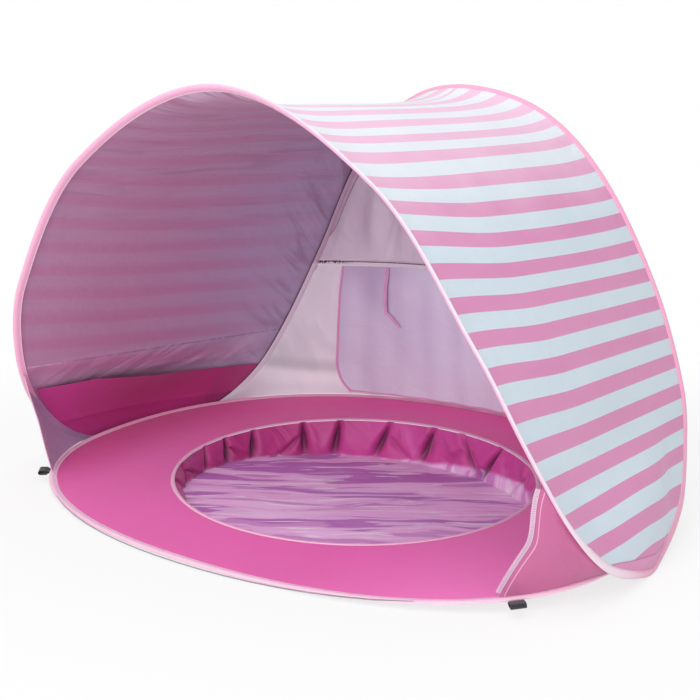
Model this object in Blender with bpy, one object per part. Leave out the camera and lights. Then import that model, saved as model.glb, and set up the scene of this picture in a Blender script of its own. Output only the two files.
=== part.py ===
"""Pop-up play tent with a paddling pool in its floor.

A spring-wire hoop in a folded binding is bent over the floor as an arched canopy. Its rounded
tips stand on the ground. A second, oval hoop holds the floor ring, and the pool's bag hangs in
an oval opening there. Gussets, a back wall with a net window and a roll-up flap close the sides.

Metres, +Z up, +X to the right seen from the front, and the front of the tent faces -Y. The
origin is on the ground under the middle of the floor.
"""
import math

import bmesh
import bpy
import numpy as np
from mathutils import Matrix, Vector
from mathutils.geometry import interpolate_bezier

# Clearances
GAP = 0.0003                # between pieces that touch
SEW_GAP = 0.0008            # between a panel's sewn edge and the binding that holds it
WIRE_END_GAP = 0.0006       # between the two ends of a hoop's wire
BINDING_END_GAP = 0.0006    # between the two ends of the floor hoop's binding
PIVOT_GAP = 0.0050          # between the canopy's bindings where the front arch folds

# The canopy hoop's right half, on the middle of its binding, from the front arch's top,
# round the tip that stands on the ground, to the rear arch's top
FRONT_TOP = (0.0, -0.305, 0.704)
FRONT_SHOULDER = (0.300, -0.311, 0.581)
FRONT_SIDE = (0.470, -0.301, 0.369)
FRONT_KNEE = (0.531, -0.269, 0.240)
FRONT_HEEL = (0.565, -0.211, 0.129)
TIP_FRONT = (0.578, -0.125, 0.050)
TIP_WIDEST = (0.574, -0.018, 0.012)
TIP_LOWEST = (0.565, 0.041, 0.007)
TIP_REAR = (0.521, 0.206, 0.048)
REAR_HEEL = (0.483, 0.291, 0.114)
REAR_KNEE = (0.446, 0.342, 0.208)
REAR_SIDE = (0.370, 0.371, 0.373)
REAR_SHOULDER = (0.252, 0.361, 0.546)
REAR_TOP = (0.0, 0.317, 0.697)

# Hoops: a spring wire, its ferrule, and the folded binding that both run in
WIRE_RADIUS = 0.0011
FERRULE_WALL = 0.0006
FERRULE_RADIUS = WIRE_RADIUS + GAP + FERRULE_WALL
FERRULE_LENGTH = 0.030
BORE_CLEARANCE = 0.0006     # round the ferrule, inside the binding
BORE_RADIUS = FERRULE_RADIUS + BORE_CLEARANCE
BINDING_WALL = 0.0009
BINDING_THICKNESS = 2 * (BORE_RADIUS + BINDING_WALL)
BINDING_WIDTH = 0.014

# Cloth
CLOTH = 0.0010
FLOOR_CLOTH = 0.0012

# How the canopy's cloth lies between the two arches
CANOPY_SAG = 0.030          # how far the ridge hangs between the arches' tops
SAG_POWER = 3.5             # above 2, the cloth drops mostly beside the arches
SAG_STARTS = 0.45           # share of the way up where the cloth begins to sag
LOOK_IN = 0.12              # how much further up the hoop the binding's flat side is aimed
FLAT_TOP = 0.004            # length on each side of the middle that runs straight across
LOWEST_SHARE = 0.05         # share of the way up where the cloth's lowest row lies
PUSH_TOP = 0.200            # height where the floor hoop no longer holds the cloth out
PUSH_AT_GROUND = 0.3        # share of that push at the ground
PUSH_EASE = 0.12            # share of the cloth's depth over which it grows from an arch
MOST_INTO_CLOTH = 0.3       # keeps a second panel off the binding's edge, where the first is sewn

# The floor ring: an oval whose front half is shallower than its rear half
TIP_CLEARANCE = 0.013       # from the tip's widest point to the floor hoop's, inwards
FLOOR_HALF_WIDTH = TIP_WIDEST[0] - TIP_CLEARANCE
FLOOR_FRONT_REACH = 0.348
FLOOR_REAR_REACH = 0.448
FLOOR_WIDEST_Y = -0.050
FLOOR_SQUARENESS = 2.15     # 2 is an ellipse
FLOOR_FRONT_HEIGHT = BINDING_THICKNESS / 2 + GAP
FLOOR_REAR_HEIGHT = 0.088   # middle of the binding over the ground

# Pool
POOL_HALF_WIDTH = 0.338
POOL_HALF_DEPTH = 0.2686
POOL_CENTRE_Y = 0.013
POOL_EDGE_WIDTH = 0.007
POOL_EDGE_THICKNESS = 0.0032
POOL_WALL_DRAW_IN = 0.016   # how far the wall's foot lies inside the opening
POOL_PLEATS = 26
POOL_PLEAT_DEPTH = 0.005
PLEAT_START = 0.15          # the pleat's depth follows half a wave down the wall: where it is
PLEAT_RUN = 0.60            # in that half wave at the top, and how far it gets at the foot
POOL_FLOOR_THICKNESS = 0.0015
POOL_FLOOR_MARGIN = 0.004   # how far the floor reaches past the wall's folds

# Gussets
GUSSET_TOP_HEIGHT = 0.198
GUSSET_FRONT_Y = -0.252     # where the front edge meets the floor hoop
GUSSET_END_Y = -0.075       # the gusset's rear end
WALL_START_Y = 0.200        # the back wall's front end
GUSSET_TAPE_WIDTH = 0.009
GUSSET_TAPE_THICKNESS = 0.0016
TAPE_BELOW_ARCH = 0.006     # from the gusset's top corner to the tape's end
TAPE_ABOVE_FLOOR = 0.012

# The front arch folds back just above the gussets' top corners
PIVOT_ABOVE_GUSSET = 0.014
PIVOT_HEIGHT = GUSSET_TOP_HEIGHT + PIVOT_ABOVE_GUSSET

# Back wall, window and flap
SEAM_HEIGHT = 0.357
SEAM_TAPE_WIDTH = 0.010
SEAM_TAPE_THICKNESS = 0.0018
WINDOW_HALF_WIDTH = 0.265
WINDOW_BOTTOM = 0.131
WINDOW_BELOW_SEAM = 0.027
WINDOW_TOP = SEAM_HEIGHT - WINDOW_BELOW_SEAM
NET_THICKNESS = 0.0006
FLAP_SIDE_COVER = 0.040     # how far the flap reaches past the window
FLAP_HALF_WIDTH = WINDOW_HALF_WIDTH + FLAP_SIDE_COVER
FLAP_FOOT_COVER = 0.028
FLAP_BOTTOM = WINDOW_BOTTOM - FLAP_FOOT_COVER
FLAP_BELOW_SEAM = 0.008     # from the seam's middle to the flap's top edge
FLAP_TOP = SEAM_HEIGHT - FLAP_BELOW_SEAM
FLAP_SEAT = 0.0018          # from the wall's middle to the flap's middle at the flap's seam
FLAP_OFFSET = 0.0065        # the same below the seam, where the folds begin
FLAP_FOOT_LEAVES = 0.0115   # how much further its foot is, because the wall slopes and it hangs
FLAP_FOLDS = 9
FLAP_FOLD_DEPTH = 0.0022
FLAP_FOLD_EASE = 0.060      # height over which the flap leaves its seam and folds
FLAP_BINDING_WIDTH = 0.008
FLAP_BINDING_THICKNESS = 0.0020
TIE_FROM_SIDE = 0.107       # from the flap's side edge to the ribbon's middle
TIE_LENGTH = 0.140          # of the longer tail
TIE_SHORTER = 0.014         # by which the other tail ends higher
TIE_KNOT = 0.020            # from the flap's top edge down to where the tails part
TIE_WIDTH = 0.007
TIE_SPREAD = 0.022          # between the two tails' ends
TIE_THICKNESS = 0.0008

# Sand pockets inside the canopy's tips
POCKET_BOTTOM = 0.080
POCKET_TOP = 0.150          # height of the mouth half way along
POCKET_TOP_SLOPE = 0.024    # how much it drops for its run to the rear
POCKET_DEPTH = 0.028        # how far the mouth stands off the canopy
POCKET_FULLNESS = 0.7       # below 1, the mouth stays wide up to its two ends
POCKET_FLARE = 1.3          # above 1, the pocket opens mostly near its mouth
POCKET_STAND_OFF = 0.0018   # from the canopy's middle to the pocket's at its seams
POCKET_HEM_WIDTH = 0.010
POCKET_HEM_THICKNESS = 0.0016

# Webbing loops for pegs, sewn under the outer edge of the floor hoop's binding
PEG_BEHIND_GUSSET = 0.010   # from the gusset's front edge to the front loop's middle
PEG_FRONT_Y = GUSSET_FRONT_Y + PEG_BEHIND_GUSSET
PEG_REAR_X = 0.200
PEG_SEAM_ANGLE = 20         # degrees below level, round the binding's section
PEG_STRAP = 0.0008
PEG_WIDTH = 0.022
PEG_OPENING = 0.0066        # clear height inside the loop
PEG_LENGTH = 0.028
PEG_PART = 0.0020           # from the seam to where the strap's two layers part
PEG_PART_GAP = 0.0002       # half the gap between the layers there
PEG_THROAT = 0.0070         # from the seam to where the loop has its full height
PEG_HEIGHT = PEG_OPENING + 2 * PEG_STRAP

# Counts of steps along and across the pieces
SAMPLES = 40                # of the hoop's curve between two of its points
FLOOR_SAMPLES = 1440
SEARCH_STEPS = 2001
TANGENT_REACH = 0.004
ANGLE_REACH = 0.01
SHORTEST_STEP = 0.006
ROWS = 26                   # from the tip to the top
ROW_CROWDING = 1.25         # above 1, the rows lie closer together near the tip
CANOPY_COLUMNS = 8
SLOPE_STEP = 0.004          # share of the cloth read on each side for its slope
POCKET_ROWS = 9             # of the canopy's rows, counted from its lowest
FLOOR_STEPS = 64
POOL_STEPS = 4 * POOL_PLEATS
POOL_WALL_ROWS = 4
GUSSET_COLUMNS = 8
GUSSET_ROWS = 3
WALL_ROWS = 6
FINE_WALL_ROWS = 25
BINDING_SIDES = 8
WIRE_SIDES = 5
FERRULE_SIDES = 8
POOL_EDGE_SIDES = 6
PEG_ARC_STEPS = 6
TIE_STEPS = 4
MERGE_REACH = 0.00001
SHARPEST_SMOOTH = 40        # degrees; sharper edges aren't shaded smooth


# Curves

def smooth_loop(points, steps):
    """A closed smooth curve through points, with steps samples between each two."""
    count = len(points)
    slopes = [(points[(i + 1) % count] - points[i - 1]).normalized() for i in range(count)]
    curve = []
    for i in range(count):
        start = points[i]
        end = points[(i + 1) % count]
        reach = (end - start).length / 3
        stretch = interpolate_bezier(start, start + slopes[i] * reach,
                                     end - slopes[(i + 1) % count] * reach, end, steps + 1)
        curve.extend(stretch[:-1])
    return curve


class Path:
    """A curve that is read by its length from its start."""

    def __init__(self, points):
        self.points = np.array([tuple(p) for p in points])
        runs = np.linalg.norm(np.diff(self.points, axis=0), axis=1)
        self.marks = np.concatenate(([0.0], np.cumsum(runs)))
        self.length = float(self.marks[-1])

    def at(self, distance):
        return Vector([float(np.interp(distance, self.marks, self.points[:, k])) for k in range(3)])

    def tangent(self, distance):
        low = max(0.0, distance - TANGENT_REACH)
        high = min(self.length, distance + TANGENT_REACH)
        return (self.at(high) - self.at(low)).normalized()

    def lowest(self):
        return float(self.marks[np.argmin(self.points[:, 2])])

    def find(self, value, axis, start, end):
        """The distance between start and end where a coordinate takes the value."""
        places = np.linspace(start, end, SEARCH_STEPS)
        coordinates = np.interp(places, self.marks, self.points[:, axis])
        return float(places[np.argmin(np.abs(coordinates - value))])


HALF = [Vector(p) for p in (FRONT_TOP, FRONT_SHOULDER, FRONT_SIDE, FRONT_KNEE, FRONT_HEEL,
                            TIP_FRONT, TIP_WIDEST, TIP_LOWEST, TIP_REAR, REAR_HEEL, REAR_KNEE,
                            REAR_SIDE, REAR_SHOULDER, REAR_TOP)]
OTHER_HALF = [Vector((-p.x, p.y, p.z)) for p in reversed(HALF[1:-1])]
HOOP = smooth_loop(HALF + OTHER_HALF, SAMPLES)
STAND = Vector((0.0, 0.0, BINDING_WIDTH / 2 - min(p.z for p in HOOP)))
CANOPY = Path([p + STAND for p in HOOP[:(len(HALF) - 1) * SAMPLES + 1]])

TIP_AT = CANOPY.lowest()
PIVOT_AT = CANOPY.find(PIVOT_HEIGHT, 2, 0.0, TIP_AT)
GUSSET_TOP_AT = CANOPY.find(GUSSET_TOP_HEIGHT, 2, 0.0, TIP_AT)
GUSSET_END_AT = CANOPY.find(GUSSET_END_Y, 1, GUSSET_TOP_AT, TIP_AT)
REAR_SIDE_AT = CANOPY.find(REAR_SIDE[2], 2, TIP_AT, CANOPY.length)
WALL_START_AT = CANOPY.find(WALL_START_Y, 1, TIP_AT, REAR_SIDE_AT)
PIVOT = CANOPY.at(PIVOT_AT)

FLOOR_SLOPE = ((FLOOR_REAR_HEIGHT - FLOOR_FRONT_HEIGHT) / (FLOOR_FRONT_REACH + FLOOR_REAR_REACH))
FLOOR_NORMAL = Vector((0.0, -FLOOR_SLOPE, 1.0)).normalized()


def floor_height(y):
    return FLOOR_FRONT_HEIGHT + FLOOR_SLOPE * (y - FLOOR_WIDEST_Y + FLOOR_FRONT_REACH)


def floor_point(angle):
    """A point on the floor hoop; 0 is at the right, a quarter turn is at the rear."""
    cosine = math.cos(angle)
    sine = math.sin(angle)
    power = 2 / FLOOR_SQUARENESS
    reach = FLOOR_REAR_REACH if sine > 0 else FLOOR_FRONT_REACH
    x = FLOOR_HALF_WIDTH * math.copysign(abs(cosine) ** power, cosine)
    y = FLOOR_WIDEST_Y + reach * math.copysign(abs(sine) ** power, sine)
    return Vector((x, y, floor_height(y)))


FLOOR = Path([floor_point(math.pi / 2 + 2 * math.pi * i / FLOOR_SAMPLES)
              for i in range(FLOOR_SAMPLES + 1)])
FLOOR_QUARTER = FLOOR.find(-FLOOR_HALF_WIDTH, 0, 0.0, FLOOR.length / 2)


def pool_point(angle, inset=0.0):
    x = (POOL_HALF_WIDTH - inset) * math.cos(angle)
    y = POOL_CENTRE_Y + (POOL_HALF_DEPTH - inset) * math.sin(angle)
    return Vector((x, y, floor_height(y)))


# The canopy's cloth runs in straight lines from the front arch to the rear arch

def front_at(share):
    """Distance along the hoop of the front end of a line; 0 is at the tip, 1 at the top."""
    return TIP_AT * (1 - share)


def rear_at(share):
    return TIP_AT + (CANOPY.length - TIP_AT) * share


def share_at(distance):
    if distance < TIP_AT:
        return 1 - distance / TIP_AT
    return (distance - TIP_AT) / (CANOPY.length - TIP_AT)


SHARES = [(i / ROWS) ** ROW_CROWDING for i in range(ROWS + 1)]


def canopy_tangent(distance):
    """The hoop's direction; it crosses the middle of the tent level."""
    if distance < FLAT_TOP:
        return Vector((1.0, 0.0, 0.0))
    if distance > CANOPY.length - FLAT_TOP:
        return Vector((-1.0, 0.0, 0.0))
    return CANOPY.tangent(distance)


def sag_ease(share):
    return max(0.0, (share - SAG_STARTS) / (1 - SAG_STARTS)) ** 2


def canopy_inward(distance):
    """Unit vector in the cloth, square to the hoop, from the hoop into the canopy."""
    share = min(1.0, share_at(distance) + LOOK_IN)
    middle = (CANOPY.at(front_at(share)) + CANOPY.at(rear_at(share))) / 2
    tangent = canopy_tangent(distance)
    aim = middle - CANOPY.at(distance)
    aim.z -= SAG_POWER * CANOPY_SAG * sag_ease(share_at(distance))
    return (aim - tangent * aim.dot(tangent)).normalized()


def canopy_edge(distance):
    return CANOPY.at(distance) + canopy_inward(distance) * (BINDING_WIDTH / 2 + SEW_GAP)


def canopy_point(share, across):
    """A point on the middle of the canopy's cloth on the right side."""
    front = canopy_edge(front_at(share))
    rear = canopy_edge(rear_at(share))
    point = front.lerp(rear, across)
    along = (rear - front).normalized()
    up = Vector((0.0, 0.0, 1.0))
    sag = CANOPY_SAG * (1 - abs(2 * across - 1) ** SAG_POWER) * sag_ease(share)
    point -= (up - along * up.dot(along)) * sag
    point.x += floor_push(point, min(across, 1 - across))
    return point


def floor_push(point, from_end):
    """How far the floor hoop holds the canopy's tip outwards: most at the hoop's height."""
    if point.z > PUSH_TOP:
        return 0.0
    room = BINDING_WIDTH / 2 + 2 * CLOTH + 2 * SEW_GAP
    push = floor_side_x(point.y) + room - point.x
    if push <= 0:
        return 0.0
    height = floor_height(point.y)
    if point.z < height:
        share = min(1.0, point.z / height + PUSH_AT_GROUND)
    else:
        share = 1 - (point.z - height) / (PUSH_TOP - height)
    return push * min(1.0, share) * min(1.0, from_end / PUSH_EASE)


def floor_side_x(y):
    """Half the floor ring's width at this y, on the middle of its binding."""
    reach = FLOOR_REAR_REACH if y > FLOOR_WIDEST_Y else FLOOR_FRONT_REACH
    ratio = min(1.0, abs(y - FLOOR_WIDEST_Y) / reach)
    return FLOOR_HALF_WIDTH * (1 - ratio ** FLOOR_SQUARENESS) ** (1 / FLOOR_SQUARENESS)


def mirrored(vector):
    return Vector((-vector.x, vector.y, vector.z))


# Meshes

def material(name, colour, roughness=0.8, metallic=0.0):
    made = bpy.data.materials.new(name)
    made.use_nodes = True
    shader = made.node_tree.nodes["Principled BSDF"]
    shader.inputs["Base Color"].default_value = (*colour, 1.0)
    shader.inputs["Roughness"].default_value = roughness
    shader.inputs["Metallic"].default_value = metallic
    return made


def add_object(name, vertices, faces, finish):
    mesh = bpy.data.meshes.new(name)
    mesh.from_pydata([tuple(v) for v in vertices], [], faces)
    made = bpy.data.objects.new(name, mesh)
    bpy.context.collection.objects.link(made)
    mesh.materials.append(finish)
    shape = bmesh.new()
    shape.from_mesh(mesh)
    bmesh.ops.recalc_face_normals(shape, faces=shape.faces)
    if shape.calc_volume(signed=True) < 0:
        bmesh.ops.reverse_faces(shape, faces=shape.faces)
    shape.to_mesh(mesh)
    shape.free()
    mesh.shade_smooth()
    mesh.set_sharp_from_angle(angle=math.radians(SHARPEST_SMOOTH))
    return made


def grid_faces(rows, columns, closed=False):
    faces = []
    last = columns if closed else columns - 1
    for r in range(rows - 1):
        for c in range(last):
            d = (c + 1) % columns
            faces.append((r * columns + c, r * columns + d, (r + 1) * columns + d, (r + 1) * columns + c))
    return faces


def turns_about(made, point):
    """Puts a moving piece's origin on its hinge, with the shape where it is."""
    made.data.transform(Matrix.Translation(-point))
    made.location = point
    return made


def thicken(made, thickness):
    """Gives a sheet its thickness, half to each side."""
    wall = made.modifiers.new("cloth", "SOLIDIFY")
    wall.thickness = thickness
    wall.offset = 0.0
    return made


def sheet(name, rows, thickness, finish, closed=False):
    """A cloth panel through rows of points."""
    vertices = [p for row in rows for p in row]
    made = add_object(name, vertices, grid_faces(len(rows), len(rows[0]), closed), finish)
    return thicken(made, thickness)


def ring(centre, across, up, radii, sides):
    points = []
    for k in range(sides):
        angle = 2 * math.pi * k / sides
        points.append(centre + across * (radii[0] * math.cos(angle)) + up * (radii[1] * math.sin(angle)))
    return points


def sweep(name, stations, outer, sides, finish, bore=None, closed=False):
    """A bar, or a tube where bore is given, along stations of (centre, across, up)."""
    vertices = []
    for centre, across, up in stations:
        vertices.extend(ring(centre, across, up, outer, sides))
    rows = len(stations) + (1 if closed else 0)
    faces = []
    count = len(stations)
    for r in range(rows - 1):
        low = (r % count) * sides
        high = ((r + 1) % count) * sides
        for k in range(sides):
            n = (k + 1) % sides
            faces.append((low + k, low + n, high + n, high + k))
    if bore is None and not closed:
        faces.append(tuple(range(sides)))
        faces.append(tuple(range((count - 1) * sides, count * sides)))
    if bore is not None:
        start = len(vertices)
        for centre, across, up in stations:
            vertices.extend(ring(centre, across, up, (bore, bore), sides))
        for r in range(count - 1):
            low = start + r * sides
            high = low + sides
            for k in range(sides):
                n = (k + 1) % sides
                faces.append((low + n, low + k, high + k, high + n))
        for base in (0, (count - 1) * sides):
            for k in range(sides):
                n = (k + 1) % sides
                faces.append((base + k, base + n, start + base + n, start + base + k))
    return add_object(name, vertices, faces, finish)


def canopy_station(distance, side=1):
    """The binding's frame on the hoop; side is -1 on the left."""
    centre = CANOPY.at(distance)
    across = canopy_inward(distance)
    up = canopy_tangent(distance).cross(across).normalized()
    if side < 0:
        return mirrored(centre), mirrored(across), mirrored(up)
    return centre, across, up


def front_stations(end):
    """From the right end of the front arch, over its top, to the left end."""
    places = [end] + [front_at(share) for share in SHARES if front_at(share) < end - SHORTEST_STEP]
    right = [canopy_station(p) for p in places]
    left = [canopy_station(p, -1) for p in places[:-1]]
    return right + left[::-1]


def rear_places(start, end):
    """Steps from the front arch's end, round the tip and up the rear arch."""
    marks = [front_at(share) for share in reversed(SHARES)] + [rear_at(share) for share in SHARES[1:]]
    marks.append(CANOPY.length - FERRULE_LENGTH / 2)
    inside = [m for m in sorted(marks) if start + SHORTEST_STEP < m < end - SHORTEST_STEP]
    return [start] + inside + [end]


def floor_station(distance):
    centre = FLOOR.at(distance)
    tangent = FLOOR.tangent(distance)
    if distance < FLAT_TOP or distance > FLOOR.length - FLAT_TOP:
        tangent = Vector((-1.0, 0.0, 0.0))
    across = FLOOR_NORMAL.cross(tangent).normalized()
    return centre, across, FLOOR_NORMAL


def leave_binding(station, towards):
    """Where a panel that runs towards a point starts, clear of the binding's surface."""
    centre, across, up = station
    away = (towards - centre).normalized()
    away = (away - across * max(0.0, away.dot(across) - MOST_INTO_CLOTH)).normalized()
    flat = away.dot(across) / (BINDING_WIDTH / 2)
    thick = away.dot(up) / (BINDING_THICKNESS / 2)
    beside = up * math.copysign(CLOTH / 2, thick)
    return centre + away * (1 / math.hypot(flat, thick) + SEW_GAP) + beside


# Finishes

def finishes():
    return {
        "wire": material("spring_steel", (0.45, 0.45, 0.47), 0.35, 1.0),
        "binding": material("light_pink_binding", (0.92, 0.55, 0.72)),
        "canopy": material("striped_canopy", (0.90, 0.62, 0.78)),
        "floor": material("deep_pink_cloth", (0.70, 0.11, 0.36)),
        "pool": material("pool_cloth", (0.62, 0.10, 0.38)),
        "water": material("pool_floor_print", (0.55, 0.25, 0.58)),
        "gusset": material("mid_pink_cloth", (0.72, 0.28, 0.47)),
        "wall": material("lilac_wall", (0.52, 0.40, 0.50)),
        "net": material("grey_net", (0.62, 0.57, 0.60)),
        "flap": material("lilac_flap", (0.56, 0.38, 0.58)),
        "ribbon": material("pink_ribbon", (0.80, 0.25, 0.52)),
        "webbing": material("dark_webbing", (0.03, 0.03, 0.04)),
    }


# Hoops and their bindings

SECTION = (BINDING_WIDTH / 2, BINDING_THICKNESS / 2)


def make_canopy_hoop(finish):
    wire = (WIRE_RADIUS, WIRE_RADIUS)
    hinge = Vector((0.0, PIVOT.y, PIVOT.z))
    turns_about(sweep("front_arch_wire", front_stations(PIVOT_AT - WIRE_END_GAP / 2), wire,
                      WIRE_SIDES, finish["wire"]), hinge)
    turns_about(sweep("front_arch_binding", front_stations(PIVOT_AT - PIVOT_GAP / 2), SECTION,
                      BINDING_SIDES, finish["binding"], bore=BORE_RADIUS), hinge)
    for side, word in ((1, "right"), (-1, "left")):
        places = rear_places(PIVOT_AT + WIRE_END_GAP / 2, CANOPY.length - WIRE_END_GAP / 2)
        sweep(f"rear_arch_wire_{word}", [canopy_station(p, side) for p in places], wire,
              WIRE_SIDES, finish["wire"])
    places = rear_places(PIVOT_AT + PIVOT_GAP / 2, CANOPY.length)
    right = [canopy_station(p) for p in places]
    left = [canopy_station(p, -1) for p in places[:-1]]
    sweep("rear_arch_binding", right + left[::-1], SECTION, BINDING_SIDES, finish["binding"],
          bore=BORE_RADIUS)
    end = CANOPY.length - FERRULE_LENGTH / 2
    middle = [canopy_station(end), canopy_station(CANOPY.length), canopy_station(end, -1)]
    make_ferrule("canopy_hoop_ferrule", middle, finish)


def make_ferrule(name, stations, finish):
    sweep(name, stations, (FERRULE_RADIUS, FERRULE_RADIUS), FERRULE_SIDES, finish["wire"],
          bore=WIRE_RADIUS + GAP)


def make_floor_hoop(finish):
    half = FERRULE_LENGTH / 2
    inside = sorted([FLOOR.length * i / FLOOR_STEPS for i in range(1, FLOOR_STEPS)]
                    + [half, FLOOR.length - half])

    def places(gap):
        return [floor_station(p) for p in [gap / 2] + inside + [FLOOR.length - gap / 2]]

    sweep("floor_hoop_wire", places(WIRE_END_GAP), (WIRE_RADIUS, WIRE_RADIUS), WIRE_SIDES,
          finish["wire"])
    sweep("floor_hoop_binding", places(BINDING_END_GAP), SECTION, BINDING_SIDES,
          finish["binding"], bore=BORE_RADIUS)
    middle = [floor_station(FLOOR.length - half), floor_station(0.0), floor_station(half)]
    make_ferrule("floor_hoop_ferrule", middle, finish)


# Canopy cloth and sand pockets

def make_canopy(finish):
    shares = [share for share in SHARES if share > LOWEST_SHARE]
    steps = [i / CANOPY_COLUMNS for i in range(CANOPY_COLUMNS + 1)]
    right = [[canopy_point(share, step) for step in steps] for share in shares]
    left = [[mirrored(p) for p in row] for row in right[:-1]]
    sheet("canopy_cloth", right + left[::-1], CLOTH, finish["canopy"])


def pocket_point(share, across):
    """The pocket's cloth stands away from the canopy towards its open top edge."""
    point = canopy_point(share, across)
    rearward = canopy_point(share, min(1.0, across + SLOPE_STEP))
    along = rearward - canopy_point(share, max(0.0, across - SLOPE_STEP))
    upward = canopy_point(share + SLOPE_STEP, across) - point
    inward = upward.cross(along).normalized()
    if inward.x > 0:
        inward = -inward
    rise = max(0.0, (point.z - POCKET_BOTTOM) / (POCKET_TOP - POCKET_BOTTOM))
    belly = math.sin(math.pi * across) ** POCKET_FULLNESS
    return point + inward * (POCKET_STAND_OFF + POCKET_DEPTH * belly * rise ** POCKET_FLARE)


def mouth_plane(drop):
    """A plane that lies by a drop below the pocket's top edge, with its normal up."""
    return Vector((0.0, 0.0, POCKET_TOP - drop)), Vector((0.0, POCKET_TOP_SLOPE, 1.0))


def flipped(plane):
    point, normal = plane
    return point, -normal


def make_pockets(finish):
    shares = [share for share in SHARES if share > LOWEST_SHARE][:POCKET_ROWS]
    steps = [i / CANOPY_COLUMNS for i in range(CANOPY_COLUMNS + 1)]
    right = [[pocket_point(share, step) for step in steps] for share in shares]
    left = [[mirrored(p) for p in row] for row in right]
    body = [above(POCKET_BOTTOM), mouth_plane(POCKET_HEM_WIDTH + 2 * SEW_GAP)]
    hem = [flipped(mouth_plane(POCKET_HEM_WIDTH)), mouth_plane(0.0)]
    for word, rows in (("right", right), ("left", left)):
        cut_sheet(f"sand_pocket_{word}", rows, body, CLOTH, finish["floor"])
        cut_sheet(f"pocket_hem_{word}", rows, hem, POCKET_HEM_THICKNESS, finish["binding"])


# Floor ring and pool

def make_floor(finish):
    outer = []
    inner = []
    edge = POOL_EDGE_WIDTH / 2 + SEW_GAP
    for i in range(FLOOR_STEPS):
        place = FLOOR.length * i / FLOOR_STEPS
        centre, across, up = floor_station(place)
        outer.append(centre + across * (BINDING_WIDTH / 2 + SEW_GAP))
        angle = math.atan2((centre.y - POOL_CENTRE_Y) / POOL_HALF_DEPTH, centre.x / POOL_HALF_WIDTH)
        inner.append(pool_point(angle, -edge))
    middle = [a.lerp(b, 0.5) for a, b in zip(outer, inner)]
    sheet("floor_panel", [outer, middle, inner], FLOOR_CLOTH, finish["floor"], closed=True)


def make_pool(finish):
    stations = []
    for i in range(FLOOR_STEPS):
        angle = 2 * math.pi * i / FLOOR_STEPS
        tangent = pool_point(angle + ANGLE_REACH) - pool_point(angle - ANGLE_REACH)
        across = tangent.cross(FLOOR_NORMAL).normalized()
        stations.append((pool_point(angle), across, FLOOR_NORMAL))
    sweep("pool_edge_binding", stations, (POOL_EDGE_WIDTH / 2, POOL_EDGE_THICKNESS / 2),
          POOL_EDGE_SIDES, finish["binding"], closed=True)
    foot = POOL_FLOOR_THICKNESS + SEW_GAP
    rows = []
    for r in range(POOL_WALL_ROWS):
        down = r / (POOL_WALL_ROWS - 1)
        row = []
        for i in range(POOL_STEPS):
            angle = 2 * math.pi * i / POOL_STEPS
            fold = POOL_PLEAT_DEPTH * math.sin(math.pi * (PLEAT_START + PLEAT_RUN * down))
            wave = fold * math.cos(POOL_PLEATS * angle)
            point = pool_point(angle, POOL_WALL_DRAW_IN * down + wave)
            top = point.z - POOL_EDGE_THICKNESS / 2 - SEW_GAP
            point.z = top + (foot - top) * down
            row.append(point)
        rows.append(row)
    sheet("pool_wall", rows, CLOTH, finish["pool"], closed=True)
    inset = POOL_WALL_DRAW_IN - POOL_PLEAT_DEPTH - POOL_FLOOR_MARGIN
    outline = [pool_point(2 * math.pi * i / FLOOR_STEPS, inset) for i in range(FLOOR_STEPS)]
    low = [Vector((p.x, p.y, 0.0)) for p in outline]
    high = [Vector((p.x, p.y, POOL_FLOOR_THICKNESS)) for p in outline]
    faces = [tuple(range(FLOOR_STEPS)), tuple(range(FLOOR_STEPS, 2 * FLOOR_STEPS))]
    for i in range(FLOOR_STEPS):
        n = (i + 1) % FLOOR_STEPS
        faces.append((i, n, FLOOR_STEPS + n, FLOOR_STEPS + i))
    add_object("pool_floor", low + high, faces, finish["water"])


# Gussets

def floor_place_right(y, front):
    """Distance along the floor hoop of the point on the right side with this y."""
    start = FLOOR.length - FLOOR_QUARTER
    if front:
        return FLOOR.find(y, 1, FLOOR.length / 2, start)
    return FLOOR.find(y, 1, start, FLOOR.length)


def tie_rows(arch_places, floor_places, rows):
    """Rows of points from the canopy's binding to the floor's, on the right side."""
    upper = [canopy_station(p) for p in arch_places]
    lower = [floor_station(p) for p in floor_places]
    tops = [leave_binding(a, b[0]) for a, b in zip(upper, lower)]
    feet = [leave_binding(b, a[0]) for a, b in zip(upper, lower)]
    return [[a.lerp(b, r / (rows - 1)) for a, b in zip(tops, feet)] for r in range(rows)]


def make_gussets(finish):
    front = floor_place_right(GUSSET_FRONT_Y, True)
    end = floor_place_right(GUSSET_END_Y, True)
    arch = np.linspace(GUSSET_TOP_AT, GUSSET_END_AT, GUSSET_COLUMNS + 1)
    foot = np.linspace(front, end, GUSSET_COLUMNS + 1)
    rows = tie_rows(arch, foot, GUSSET_ROWS)
    for word, turn in (("right", lambda p: p), ("left", mirrored)):
        sheet(f"gusset_{word}", [[turn(p) for p in row] for row in rows], CLOTH, finish["gusset"])
    top = rows[0][0]
    bottom = rows[-1][0]
    away = (top - rows[0][1]).normalized()
    down = (bottom - top).normalized()
    away = (away - down * away.dot(down)).normalized()
    start = CLOTH / 2 + GAP
    tape = [[p + away * start, p + away * (start + GUSSET_TAPE_WIDTH)]
            for p in (top + down * TAPE_BELOW_ARCH, top.lerp(bottom, 0.5),
                      bottom - down * TAPE_ABOVE_FLOOR)]
    for word, turn in (("right", lambda p: p), ("left", mirrored)):
        sheet(f"gusset_tape_{word}", [[turn(p) for p in row] for row in tape],
              GUSSET_TAPE_THICKNESS, finish["binding"])


# Back wall with its window, net and flap

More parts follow.
